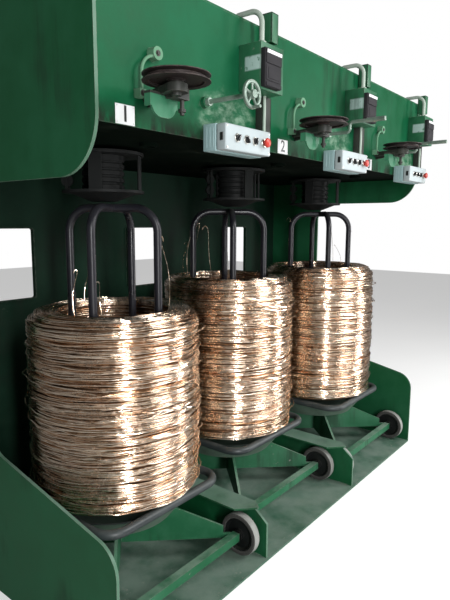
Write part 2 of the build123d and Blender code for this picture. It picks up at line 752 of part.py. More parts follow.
def carrier_ring(bay):
    """Square tube ring with round corners, a round dish below it and a cross of flat bars."""
    half = RING_HALF
    path = Pos(0, 0, RING_HEIGHT) * FilletPolyline(
        (-half, -half), (half, -half), (half, half), (-half, half), radius=RING_CORNER, close=True
    )
    carrier = sweep(Plane(path @ 0, z_dir=path % 0) * Circle(RING_TUBE), path)
    carrier += turned(
        (
            (0, DISH_FLOOR),
            (DISH_FLOOR_R, DISH_FLOOR),
            (DISH_R, DISH_RIM),
            (DISH_R - DISH_SHEET, DISH_RIM),
            (DISH_FLOOR_R - DISH_SHEET, DISH_FLOOR + DISH_SHEET),
            (0, DISH_FLOOR + DISH_SHEET),
        )
    )
    side = SPOKE_WIDTH / 2
    carrier += block(-half, half, -side, side, SEAT_TOP - SPOKE_SHEET, SEAT_TOP)
    carrier += block(-side, side, -half, half, SEAT_TOP - SPOKE_SHEET, SEAT_TOP)
    return Pos(*carriage_centre(bay), 0) * carrier


def stem(bay):
    """Two crossed hoops of bent tube on a flat foot ring."""
    foot = SEAT_TOP + SEAT_GAP
    leg = foot + STEM_FOOT_SHEET / 2
    half = STEM_FOOT_WIDTH / 2
    hoop = FilletPolyline(
        (-STEM_R, 0, leg), (-STEM_R, 0, STEM_TOP), (STEM_R, 0, STEM_TOP), (STEM_R, 0, leg), radius=STEM_BEND
    )
    tube = sweep(Plane(hoop @ 0, z_dir=hoop % 0) * Circle(STEM_TUBE), hoop)
    ring = turned(
        (
            (STEM_R - half, foot),
            (STEM_R + half, foot),
            (STEM_R + half, foot + STEM_FOOT_SHEET),
            (STEM_R - half, foot + STEM_FOOT_SHEET),
        )
    )
    whole = ring + tube + Rot(0, 0, 90) * tube
    return Pos(*carriage_centre(bay), 0) * Rot(0, 0, STEM_TURNS[bay]) * whole


def wire_coil(bay):
    """Outer form of the wound wire, which rests on the carrier around the stem."""
    bottom = SEAT_TOP + SEAT_GAP
    top = COIL_TOPS[bay]
    outline = FilletPolyline(
        (COIL_BORE_R, bottom),
        (COIL_R, bottom),
        (COIL_R, top),
        (COIL_BORE_R, top),
        radius=[COIL_HEEL, COIL_HEEL, COIL_SHOULDER, COIL_SHOULDER],
        close=True,
    )
    return Pos(*carriage_centre(bay), 0) * revolve(Plane.XZ * make_face(outline), Axis.Z)


def frame_nodes():
    """The fixed sheets and plates."""
    nodes = {
        "left_end_plate": end_plate(LEFT),
        "right_end_plate": end_plate(-INNER_LEFT),
        "rear_wall": rear_wall(),
        "front_fascia": front_fascia(),
        "head_roof": head_roof(),
        "head_belly": head_belly(),
        "floor_plate": floor_plate(),
    }
    for bay in range(BAYS - 1):
        nodes[f"divider_{bay + 1}"] = divider(bay)
    return nodes


def station_nodes(bay):
    """The pieces of one station."""
    number = bay + 1
    shaft = "handwheel" if bay == 0 else "crank"
    return {
        f"sheave_bracket_{number}": sheave_bracket(bay),
        f"control_box_{number}": control_box(bay),
        f"isolator_{number}": isolator(bay),
        f"sheave_{number}": sheave(bay),
        f"{shaft}_{number}": adjusting_shaft(bay),
        f"coiling_head_{number}": coiling_head(bay),
        f"carriage_frame_{number}": carriage_frame(bay),
        f"front_wheels_{number}": wheel_pair(bay, -1),
        f"rear_wheels_{number}": wheel_pair(bay, 1),
        f"carrier_ring_{number}": carrier_ring(bay),
        f"stem_{number}": stem(bay),
        f"wire_coil_{number}": wire_coil(bay),
    }


nodes = frame_nodes()
for bay in range(BAYS):
    nodes.update(station_nodes(bay))

os.makedirs("parts", exist_ok=True)
for name, solid in nodes.items():
    export_step(solid, f"parts/{name}.step")
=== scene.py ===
"""Looks of the wire take-up coiler: finishes, wound wire, running gear, boxes and small fittings.

Lengths are metres in the frame's own axes: +X along the row of stations, -Y to the front, +Z up.
"""

import logging
import math
import random
from dataclasses import dataclass
from enum import Enum
from typing import ClassVar, Sequence

import bmesh
import bpy
from mathutils import Matrix, Vector


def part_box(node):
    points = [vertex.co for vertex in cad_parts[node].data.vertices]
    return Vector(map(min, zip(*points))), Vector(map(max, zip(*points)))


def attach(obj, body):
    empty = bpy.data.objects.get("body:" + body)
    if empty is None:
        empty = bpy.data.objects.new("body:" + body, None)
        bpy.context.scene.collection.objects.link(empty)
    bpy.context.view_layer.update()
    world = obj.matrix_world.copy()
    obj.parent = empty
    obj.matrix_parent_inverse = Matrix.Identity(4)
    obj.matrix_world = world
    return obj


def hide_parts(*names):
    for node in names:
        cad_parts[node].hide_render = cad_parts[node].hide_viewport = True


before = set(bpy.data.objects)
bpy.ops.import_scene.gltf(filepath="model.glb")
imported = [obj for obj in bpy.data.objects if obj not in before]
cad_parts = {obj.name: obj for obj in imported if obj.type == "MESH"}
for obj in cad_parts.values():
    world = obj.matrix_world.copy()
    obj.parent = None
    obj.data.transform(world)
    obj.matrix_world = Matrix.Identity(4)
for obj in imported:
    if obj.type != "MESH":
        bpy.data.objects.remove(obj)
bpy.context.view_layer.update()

STATIONS = (1, 2, 3)
PHOTO_HEIGHT = 600
SEED = 41
STEM_TURNS = {1: 26.0, 2: 45.0, 3: 45.0}
FULL_TURN = 2 * math.pi

Colour = tuple[float, float, float]
Point = tuple[float, float, float]
Profile = list[tuple[float, float]]

log = logging.getLogger("coiler")


@dataclass(frozen=True)
class Extent:
    """Lowest and highest corner of a node."""

    low: Vector
    high: Vector

    @classmethod
    def of(cls, node: str) -> "Extent":
        """Reads a node's box at rest."""
        return cls(*(Vector(corner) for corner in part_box(node)))

    @property
    def middle(self) -> Vector:
        """Centre of the box."""
        return (self.low + self.high) / 2

    @property
    def size(self) -> Vector:
        """Lengths of the box's sides."""
        return self.high - self.low


@dataclass(frozen=True)
class Row:
    """Places that the stations share, read from the fixed nodes."""

    left: float
    pitch: float
    face: float
    foot: float
    roof: float

    @classmethod
    def read(cls) -> "Row":
        """Reads the row from the end plates, the roof and the fascia.

        Returns:
            The row's places.
        """
        left = Extent.of("left_end_plate").low.x
        pitch = (Extent.of("right_end_plate").high.x - left) / len(STATIONS)
        roof = Extent.of("head_roof")
        return cls(left, pitch, roof.low.y, Extent.of("front_fascia").low.z, roof.high.z)

    def start(self, station: int) -> float:
        """X of a station's left side."""
        return self.left + self.pitch * (station - 1)


class Signal:
    """Output of a node. Arithmetic with it adds Math nodes to its sheet."""

    def __init__(self, sheet: "NodeSheet", socket: bpy.types.NodeSocket) -> None:
        """Keeps the sheet and the socket."""
        self.sheet, self.socket = sheet, socket

    def __add__(self, other: object) -> "Signal":
        """Adds."""
        return self.sheet.calculate("ADD", self, other)

    def __sub__(self, other: object) -> "Signal":
        """Subtracts."""
        return self.sheet.calculate("SUBTRACT", self, other)

    def __rsub__(self, other: object) -> "Signal":
        """Subtracts from a number."""
        return self.sheet.calculate("SUBTRACT", other, self)

    def __mul__(self, other: object) -> "Signal":
        """Multiplies."""
        return self.sheet.calculate("MULTIPLY", self, other)

    def __truediv__(self, other: object) -> "Signal":
        """Divides."""
        return self.sheet.calculate("DIVIDE", self, other)

    def __abs__(self) -> "Signal":
        """Drops the sign."""
        return self.sheet.calculate("ABSOLUTE", self)

    def clamp(self) -> "Signal":
        """Keeps the result of the last Math node between 0 and 1."""
        self.socket.node.use_clamp = True
        return self


class NodeSheet:
    """Writes nodes into one node tree, with short calls for what is used most."""

    def __init__(self, tree: bpy.types.NodeTree) -> None:
        """Keeps the tree."""
        self.tree = tree

    def add(self, kind: str, settings: dict | None = None, **inputs: object) -> bpy.types.Node:
        """Adds a node, sets its options and feeds its inputs.

        Args:
            kind: Node type.
            settings: Options of the node, such as operation.
            **inputs: Signal or value of each input, by its name with underscores or by its number after one.

        Returns:
            The new node.
        """
        node = self.tree.nodes.new(kind)
        for name, value in (settings or {}).items():
            setattr(node, name, value)
        for name, value in inputs.items():
            self.feed(node.inputs[int(name[1:]) if name[0] == "_" else name.replace("_", " ")], value)
        return node

    def make(
        self, kind: str, settings: dict | None = None, output: int | str = 0, **inputs: object
    ) -> Signal:
        """Adds a node as add() does, and gives the output with a number or a name."""
        return Signal(self, self.add(kind, settings, **inputs).outputs[output])

    def feed(self, socket: bpy.types.NodeSocket, value: object) -> None:
        """Links an input to a signal, or sets its value.

        Args:
            socket: The input.
            value: Signal or plain value.
        """
        if isinstance(value, Signal):
            self.tree.links.new(value.socket, socket)
        elif value is not None:
            socket.default_value = value

    def calculate(self, operation: str, *values: object) -> Signal:
        """Adds a Math node with signals or numbers as its values."""
        inputs = {f"_{number}": value for number, value in enumerate(values)}
        return self.make("ShaderNodeMath", {"operation": operation}, **inputs)

    def vector(self, operation: str, *values: object, output: int | str = 0) -> Signal:
        """Adds a Vector Math node with signals or vectors as its values."""
        inputs = {f"_{number}": value for number, value in enumerate(values)}
        return self.make("ShaderNodeVectorMath", {"operation": operation}, output, **inputs)

    def blend(self, factor: object, first: object, second: object) -> Signal:
        """Mixes two colours by the share of the second."""
        colours = {"_6": rgba(first), "_7": rgba(second)}
        return self.make("ShaderNodeMix", {"data_type": "RGBA"}, 2, _0=factor, **colours)

    def step(self, value: object, low: float, high: float, start: float = 0.0, end: float = 1.0) -> Signal:
        """Maps a value smoothly, so that low gives start and high gives end."""
        settings = {"interpolation_type": "SMOOTHSTEP", "clamp": True}
        return self.make("ShaderNodeMapRange", settings, _0=value, _1=low, _2=high, _3=start, _4=end)

    def noise(self, place: object, scale: object, detail: float = 4.0, rough: float = 0.55) -> Signal:
        """Adds a noise texture."""
        return self.make("ShaderNodeTexNoise", Vector=place, Scale=scale, Detail=detail, Roughness=rough)

    def stretch(self, place: object, scale: Point, shift: Point = (0.0, 0.0, 0.0)) -> Signal:
        """Scales and shifts coordinates along their axes."""
        return self.make("ShaderNodeMapping", Vector=place, Scale=scale, Location=shift)

    def split(self, vector: object) -> list[Signal]:
        """Gives a vector's three numbers."""
        return [Signal(self, output) for output in self.add("ShaderNodeSeparateXYZ", Vector=vector).outputs]

    def join(self, x: object = 0.0, y: object = 0.0, z: object = 0.0) -> Signal:
        """Makes a vector of three numbers."""
        return self.make("ShaderNodeCombineXYZ", X=x, Y=y, Z=z)

    def facing(self, axis: int) -> Signal:
        """Gives one number of the surface's normal."""
        return self.split(self.make("ShaderNodeNewGeometry", None, "Normal"))[axis]

    def inside(self, place: object, low: Point, high: Point, soft: float = 0.001) -> Signal:
        """Gives 1 inside a box and 0 outside it.

        Args:
            place: Coordinates.
            low: Lowest corner.
            high: Highest corner.
            soft: Width of the change.

        Returns:
            The mask.
        """
        mask = None
        for axis, start, end in zip(self.split(place), low, high):
            middle, half = (start + end) / 2, (end - start) / 2
            within = self.step(abs(axis - middle), half + soft, half - soft)
            mask = within if mask is None else mask * within
        return mask


def rgba(value: object) -> object:
    """Adds the fourth number to a plain colour and leaves a signal as it is."""
    return (*value, 1.0) if isinstance(value, tuple) and len(value) == 3 else value


class EffectGroups:
    """The shader node groups that several finishes share, each built at its first use."""

    def __init__(self) -> None:
        """Starts with no group."""
        self.made: dict[str, bpy.types.NodeTree] = {}

    def start(self, name: str, **numbers: float) -> tuple[NodeSheet, Signal, Signal, Signal]:
        """Starts a node group with coordinates and two numbers as its inputs.

        Args:
            name: Name of the group.
            **numbers: Defaults of the two numbers.

        Returns:
            The sheet, the coordinates and the two numbers.
        """
        tree = self.made[name] = bpy.data.node_groups.new(name, "ShaderNodeTree")
        tree.interface.new_socket("Vector", in_out="INPUT", socket_type="NodeSocketVector")
        for key, value in numbers.items():
            socket = tree.interface.new_socket(key, in_out="INPUT", socket_type="NodeSocketFloat")
            socket.default_value = value
        tree.interface.new_socket("Value", in_out="OUTPUT", socket_type="NodeSocketFloat")
        sheet = NodeSheet(tree)
        given = sheet.add("NodeGroupInput").outputs
        return sheet, *(Signal(sheet, given[number]) for number in range(3))

    def use(self, sheet: NodeSheet, name: str, place: Signal, *numbers: float) -> Signal:
        """Places a group in a material.

        Args:
            sheet: The material's sheet.
            name: Name of the group.
            place: Coordinates.
            *numbers: Values of the group's two numbers.

        Returns:
            The group's result.
        """
        if name not in self.made:
            getattr(self, name)()
        inputs = {"_0": place, "_1": numbers[0], "_2": numbers[1]}
        return sheet.make("ShaderNodeGroup", {"node_tree": self.made[name]}, **inputs)

    def patches(self) -> None:
        """Soft patches of two sizes, for faded and darkened paint."""
        sheet, place, scale, contrast = self.start("patches", Scale=2.0, Contrast=0.5)
        large, small = sheet.noise(place, scale, 3.0), sheet.noise(place, scale * 7.0, 6.0, 0.65)
        centred = small * 0.45 + large * 0.75 - 0.6
        sheet.add("NodeGroupOutput", _0=(centred * (contrast * 5.0 + 1.0) + 0.5).clamp())

    def chips(self) -> None:
        """Small hard-edged spots where the paint is knocked off."""
        sheet, place, scale, amount = self.start("chips", Scale=30.0, Amount=0.2)
        grain, where = sheet.noise(place, scale, 7.0, 0.7), sheet.noise(place, scale * 0.13, 2.0)
        level = where * 0.35 + grain - (0.98 - amount * 0.3)
        sheet.add("NodeGroupOutput", _0=(level * 30.0).clamp())

    def streaks(self) -> None:
        """Runs of dirt that hang down a wall."""
        sheet, place, scale, amount = self.start("streaks", Scale=9.0, Amount=0.5)
        runs = sheet.noise(sheet.stretch(place, (1.0, 1.0, 0.09)), scale, 5.0, 0.7)
        broken = sheet.noise(place, 3.1, 3.0)
        sheet.add("NodeGroupOutput", _0=(sheet.step(runs * broken, 0.26, 0.42) * amount).clamp())

    def edges(self) -> None:
        """Rubbed edges, found where the bevelled normal leaves the face's own."""
        sheet, place, width, amount = self.start("edges", Width=0.004, Amount=0.7)
        rounded = sheet.make("ShaderNodeBevel", {"samples": 2}, Radius=width)
        plain = sheet.make("ShaderNodeNewGeometry", None, "Normal")
        edge = sheet.step(sheet.vector("DOT_PRODUCT", rounded, plain, output="Value"), 0.995, 0.90)
        grit = sheet.step(sheet.noise(place, 38.0, 5.0, 0.7), 0.36, 0.6)
        sheet.add("NodeGroupOutput", _0=(edge * grit * amount).clamp())

    def dust(self) -> None:
        """Dust that settles on faces turned up, mixed with painted light on those faces."""
        sheet, place, scale, amount = self.start("dust", Scale=6.0, Amount=0.5)
        lies = sheet.step(sheet.facing(2), 0.35, 0.95)
        cloud = sheet.step(sheet.noise(place, scale, 5.0, 0.6), 0.3, 0.65)
        sheet.add("NodeGroupOutput", _0=(lies * cloud * amount).clamp())

    def grain(self) -> None:
        """Fine unevenness for bump."""
        sheet, place, scale, amount = self.start("grain", Scale=120.0, Amount=1.0)
        fine, wide = sheet.noise(place, scale, 5.0, 0.6), sheet.noise(place, scale * 0.07, 2.0)
        sheet.add("NodeGroupOutput", _0=(wide * 1.4 + fine) * amount)


EFFECTS = EffectGroups()


class Coat(NodeSheet):
    """A material's sheet, with its Principled shader and Object coordinates."""

    def __init__(self, name: str) -> None:
        """Makes the material and its shader.

        Args:
            name: Name of the material.
        """
        self.material = bpy.data.materials.new(name)
        self.material.use_nodes = True
        super().__init__(self.material.node_tree)
        self.tree.nodes.clear()
        self.shader = self.add("ShaderNodeBsdfPrincipled")
        self.add("ShaderNodeOutputMaterial", Surface=Signal(self, self.shader.outputs[0]))
        self.place = self.make("ShaderNodeTexCoord", None, "Object")

    def set(self, **inputs: object) -> None:
        """Feeds inputs of the shader, by their names with underscores."""
        for name, value in inputs.items():
            self.feed(self.shader.inputs[name.replace("_", " ")], value)

    def effect(self, name: str, *numbers: float) -> Signal:
        """Places a shared effect on the material."""
        return EFFECTS.use(self, name, self.place, *numbers)

    def bump(self, height: Signal, strength: float, distance: float) -> None:
        """Feeds a height through a Bump node into the shader's normal."""
        self.set(Normal=self.make("ShaderNodeBump", Strength=strength, Distance=distance, Height=height))


@dataclass(frozen=True)
class Paint:
    """Shop paint on sheet steel, with fading, grime, rubbed edges and chips."""

    name: str
    colour: Colour
    faded: Colour
    grime: Colour = (0.012, 0.016, 0.012)
    under: Colour = (0.20, 0.21, 0.18)
    rough: float = 0.42
    fading: float = 0.5
    dirt: float = 0.45
    wear: float = 0.6
    chips: float = 0.25
    dust: float = 0.3
    dust_colour: Colour = (0.16, 0.17, 0.13)
    bare_spots: tuple[tuple[Point, Point], ...] = ()
    bare_colour: Colour = (0.50, 0.58, 0.47)
    areas: tuple[tuple[Point, Point, Colour], ...] = ()
    scraped: tuple[tuple[Point, Point], ...] = ()
    skirt: tuple[float, float] | None = None
    rim: Colour | None = None
    shine: float = 0.3

    def material(self) -> bpy.types.Material:
        """Builds the paint's material.

        Returns:
            The material.
        """
        coat = Coat(self.name)
        tone = coat.effect("patches", 1.7, self.fading)
        colour = self.bare(coat, self.base(coat, tone))
        runs = self.runs(coat)
        colour = coat.blend(runs, colour, self.grime)
        chipped, rubbed = coat.effect("chips", 34.0, self.chips), coat.effect("edges", 0.0035, self.wear)
        bared = coat.calculate("MAXIMUM", chipped, rubbed)
        colour = coat.blend(bared, colour, self.under)
        # Faces turned up are made lighter: part dust, part painted highlight.
        dusted_and_lit = coat.effect("dust", 5.0, self.dust)
        matt = coat.calculate("MAXIMUM", runs, dusted_and_lit)
        gloss = tone * 0.16 + (self.rough - 0.06)
        coat.set(
            Base_Color=coat.blend(dusted_and_lit, colour, self.dust_colour),
            Specular_IOR_Level=self.shine,
            Roughness=(matt * 0.25 + gloss).clamp(),
        )
        coat.bump(coat.effect("grain", 150.0, 0.5) - bared * 0.8, 0.25, 0.0012)
        return coat.material

    def base(self, coat: Coat, tone: Signal) -> Signal:
        """Gives the clean colour, with its other areas and its rim of painted light.

        Args:
            coat: The material's sheet.
            tone: Share of the faded colour.

        Returns:
            The colour.
        """
        colour = coat.blend(tone, self.colour, self.faded)
        for low, high, other in self.areas:
            lighter = tuple(c * 1.35 for c in other)
            colour = coat.blend(coat.inside(coat.place, low, high), colour, coat.blend(tone, other, lighter))
        # Painted light: faces not turned to X, such as the plates' front edges and tops, get the lighter rim
        # colour.
        if self.rim:
            colour = coat.blend(coat.step(abs(coat.facing(0)), 0.7, 0.4), colour, self.rim)
        return colour

    def bare(self, coat: Coat, colour: Signal) -> Signal:
        """Lays the scraped boxes, and the lighter patches of rubbed paint and painted sheen, over a colour.

        Args:
            coat: The material's sheet.
            colour: The colour so far.

        Returns:
            The new colour.
        """
        for low, high in self.scraped:
            ragged = coat.step(coat.noise(coat.place, 38.0, 7.0, 0.7), 0.33, 0.46)
            colour = coat.blend(coat.inside(coat.place, low, high, 0.004) * ragged, colour, self.bare_colour)
        # Lighter patches: partly rubbed paint, partly painted sheen.
        for middle, reach in self.bare_spots:
            scale = tuple(1.0 / length for length in reach)
            shift = tuple(-centre / length for centre, length in zip(middle, reach))
            away = coat.vector("LENGTH", coat.stretch(coat.place, scale, shift), output="Value")
            level = coat.noise(coat.place, 11.0, 7.0, 0.7) * 1.5 + 0.25 - away
            streaky = coat.noise(coat.stretch(coat.place, (9.0, 9.0, 16.0)), 1.6, 7.0, 0.68)
            mask = coat.step(level, -0.2, 0.45, 0.0, 0.6) * coat.step(streaky, 0.40, 0.68)
            colour = coat.blend(mask, colour, self.bare_colour)
        return colour

    def runs(self, coat: Coat) -> Signal:
        """Gives the mask of dirt that runs down, and of grime along the foot.

        Args:
            coat: The material's sheet.

        Returns:
            The mask.
        """
        runs = coat.effect("streaks", 9.0, self.dirt)
        if not self.skirt:
            return runs
        near = coat.step(coat.split(coat.place)[2], self.skirt[1], self.skirt[0])
        smear = coat.noise(coat.stretch(coat.place, (7.0, 7.0, 2.0)), 2.2, 6.0, 0.7)
        return coat.calculate("MAXIMUM", runs, near * coat.step(smear, 0.35, 0.62))


@dataclass(frozen=True)
class Metal:
    """Bare or blackened metal with rust and scratches."""

    name: str
    colour: Colour
    second: Colour
    rust: Colour = (0.10, 0.035, 0.014)
    rusting: float = 0.2
    rough: float = 0.4
    metallic: float = 1.0
    scratches: float = 0.4
    wear: float = 0.3
    worn: Colour = (0.35, 0.35, 0.34)
    shine: float = 0.5

    def material(self) -> bpy.types.Material:
        """Builds the metal's material.

        Returns:
            The material.
        """
        coat = Coat(self.name)
        colour = coat.blend(coat.effect("patches", 6.0, 0.6), self.colour, self.second)
        colour = coat.blend(coat.effect("edges", 0.003, self.wear), colour, self.worn)
        spots = coat.effect("chips", 16.0, self.rusting * 2.0)
        cloud = coat.step(coat.noise(coat.place, 9.0, 6.0, 0.7), 0.62 - 0.3 * self.rusting, 0.75)
        rusted = coat.calculate("MAXIMUM", spots, cloud * (self.rusting * 2.0)).clamp()
        scratch = coat.noise(coat.stretch(coat.place, (90.0, 90.0, 9.0)), 3.0, 4.0)
        gloss = scratch * (0.25 * self.scratches) + (self.rough - 0.1)
        coat.set(
            Base_Color=coat.blend(rusted, colour, self.rust),
            Metallic=(rusted * (-0.9 * self.metallic) + self.metallic).clamp(),
            Specular_IOR_Level=self.shine,
            Roughness=(rusted * 0.4 + gloss).clamp(),
        )
        coat.bump(rusted * 0.8 + coat.effect("grain", 210.0, 0.5), 0.25, 0.001)
        return coat.material


@dataclass(frozen=True)
class WoundWire:
    """Drawn bronze wire, whose tone changes from turn to turn."""

    name: str = "wound wire"
    bright: Colour = (0.99, 0.85, 0.70)
    deep: Colour = (0.56, 0.30, 0.15)
    rough: float = 0.15

    def material(self) -> bpy.types.Material:
        """Builds the wire's material.

        Returns:
            The material.
        """
        coat = Coat(self.name)
        turns = coat.noise(coat.stretch(coat.place, (2.0, 2.0, 210.0)), 1.0, 3.0, 0.6)
        colour = coat.blend(coat.step(turns, 0.32, 0.56), self.deep, self.bright)
        dull = coat.step(coat.noise(coat.place, 7.0, 4.0, 0.6), 0.5, 0.72)
        glints = coat.step(coat.noise(coat.place, 42.0, 3.0, 0.6), 0.38, 0.62, 0.12, -0.05)
        coat.set(
            Base_Color=coat.blend(dull * 0.35, colour, self.deep),
            Metallic=1.0,
            Roughness=dull * 0.10 + (glints + self.rough),
        )
        coat.bump(coat.noise(coat.stretch(coat.place, (30.0, 30.0, 700.0)), 1.5, 2.0), 0.12, 0.0006)
        return coat.material


@dataclass(frozen=True)
class Plastic:
    """Moulded plastic, rubber or enamel with handling marks."""

    name: str
    colour: Colour
    soiled: Colour
    rough: float = 0.45
    soiling: float = 0.4
    bump: float = 0.15
    shine: float = 0.5
    sides: Colour | None = None

    def material(self) -> bpy.types.Material:
        """Builds the plastic's material.

        Returns:
            The material.
        """
        coat = Coat(self.name)
        marks = coat.effect("streaks", 26.0, self.soiling)
        dirt = (coat.effect("patches", 14.0, 0.4) * (self.soiling * 0.4) + marks).clamp()
        colour = coat.blend(dirt, self.colour, self.soiled)
        if self.sides:
            colour = coat.blend(coat.step(abs(coat.facing(0)), 0.45, 0.8), colour, self.sides)
        lighter = tuple(min(1.0, c * 1.6 + 0.06) for c in self.colour)
        coat.set(
            Base_Color=coat.blend(coat.effect("edges", 0.0015, 0.35), colour, lighter),
            Specular_IOR_Level=self.shine,
            Roughness=(dirt * 0.25 + self.rough).clamp(),
        )
        coat.bump(coat.effect("grain", 300.0, 0.5), self.bump, 0.0006)
        return coat.material


@dataclass(frozen=True)
class FloorFinish:
    """Plain pale floor that keeps the part's shadow."""

    name: str = "pale floor"
    colour: Colour = (0.72, 0.72, 0.71)
    glow: float = 0.42

    def material(self) -> bpy.types.Material:
        """Builds the floor's material.

        Returns:
            The material.
        """
        coat = Coat(self.name)
        tone = coat.step(coat.noise(coat.place, 1.3, 5.0), 0.3, 0.7)
        coat.set(
            Base_Color=coat.blend(tone, self.colour, tuple(c * 0.96 for c in self.colour)),
            Roughness=0.8,
            Emission_Color=(1.0, 1.0, 1.0, 1.0),
            Emission_Strength=coat.make("ShaderNodeLightPath", None, "Is Camera Ray") * self.glow,
        )
        return coat.material


class Finish(Enum):
    """The finishes that pieces are given, each as its slot in the record and its tone there."""

    HEAD_GREEN = ("green_paint", "head")
    FRAME_GREEN = ("green_paint", "frame")
    PLATE_GREEN = ("green_paint", "plate")
    FLOOR_GREEN = ("green_paint", "floor")
    WALL_GREEN = ("dark_green_paint", "wall")
    BELLY_GREEN = ("dark_green_paint", "belly")
    DISH_GREEN = ("dark_green_paint", "dish")
    BLACK_PAINT = ("black_paint", "stem")
    SOOTY_BLACK = ("black_paint", "head")
    DARK_PARTS = ("black_paint", "bracket")
    BOX_GREY = ("grey_paint", "case")
    BOX_WHITE = ("grey_paint", "lid")
    PLATE_WHITE = ("grey_paint", "plate")
    CONDUIT = ("grey_paint", "conduit")
    WORN_IRON = ("worn_iron", "sheave")
    BRIGHT_STEEL = ("bright_steel", "shaft")
    ZINC = ("bright_steel", "plated")
    WIRE = ("bronze_wire", "turns")
    WIRE_CORE = ("bronze_wire", "core")
    TYRE = ("grey_tyre", "tread")
    DARK_PLASTIC = ("dark_plastic", "case")
    KNOB_BLACK = ("dark_plastic", "knob")
    STOP_RED = ("dark_plastic", "stop")

    @property
    def slot(self) -> str:
        """The record's slot."""
        return self.value[0]


class PaintShop:
    """Keeps one material for each finish, dresses nodes and shows pieces."""

    def __init__(self, recipes: dict[Finish, object]) -> None:
        """Keeps the recipe of each finish."""
        self.recipes = recipes
        self.made: dict[Finish, bpy.types.Material] = {}

    def get(self, finish: Finish) -> bpy.types.Material:
        """Gives a finish's material, built at its first use.

        Args:
            finish: The finish.

        Returns:
            The material.
        """
        if finish not in self.made:
            self.made[finish] = self.recipes[finish].material()
        return self.made[finish]

    def dress_node(self, node: str, finish: Finish) -> None:
        """Gives a CAD node a finish.

        Args:
            node: Name of the node.
            finish: The finish.
        """
        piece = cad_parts[node]
        if not piece.material_slots:
            piece.data.materials.append(None)
        for slot in piece.material_slots:
            slot.link = "OBJECT"
            slot.material = self.get(finish)
        log.info("dressed %s", node)

    def show(
        self, data: bpy.types.Mesh, name: str, finish: Finish, body: str, node: str | None = None
    ) -> None:
        """Makes a piece of a mesh.

        Args:
            data: The mesh.
            name: Name of the piece.
            finish: Its finish.
            body: The body that it rides on.
            node: The CAD node that it replaces, if any.
        """
        data.name = name
        data.materials.clear()
        data.materials.append(self.get(finish))
        piece = bpy.data.objects.new(name, data)
        bpy.context.scene.collection.objects.link(piece)
        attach(piece, body)
        if node:
            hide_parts(node)
        log.info("made %s: %d faces", name, len(data.polygons))


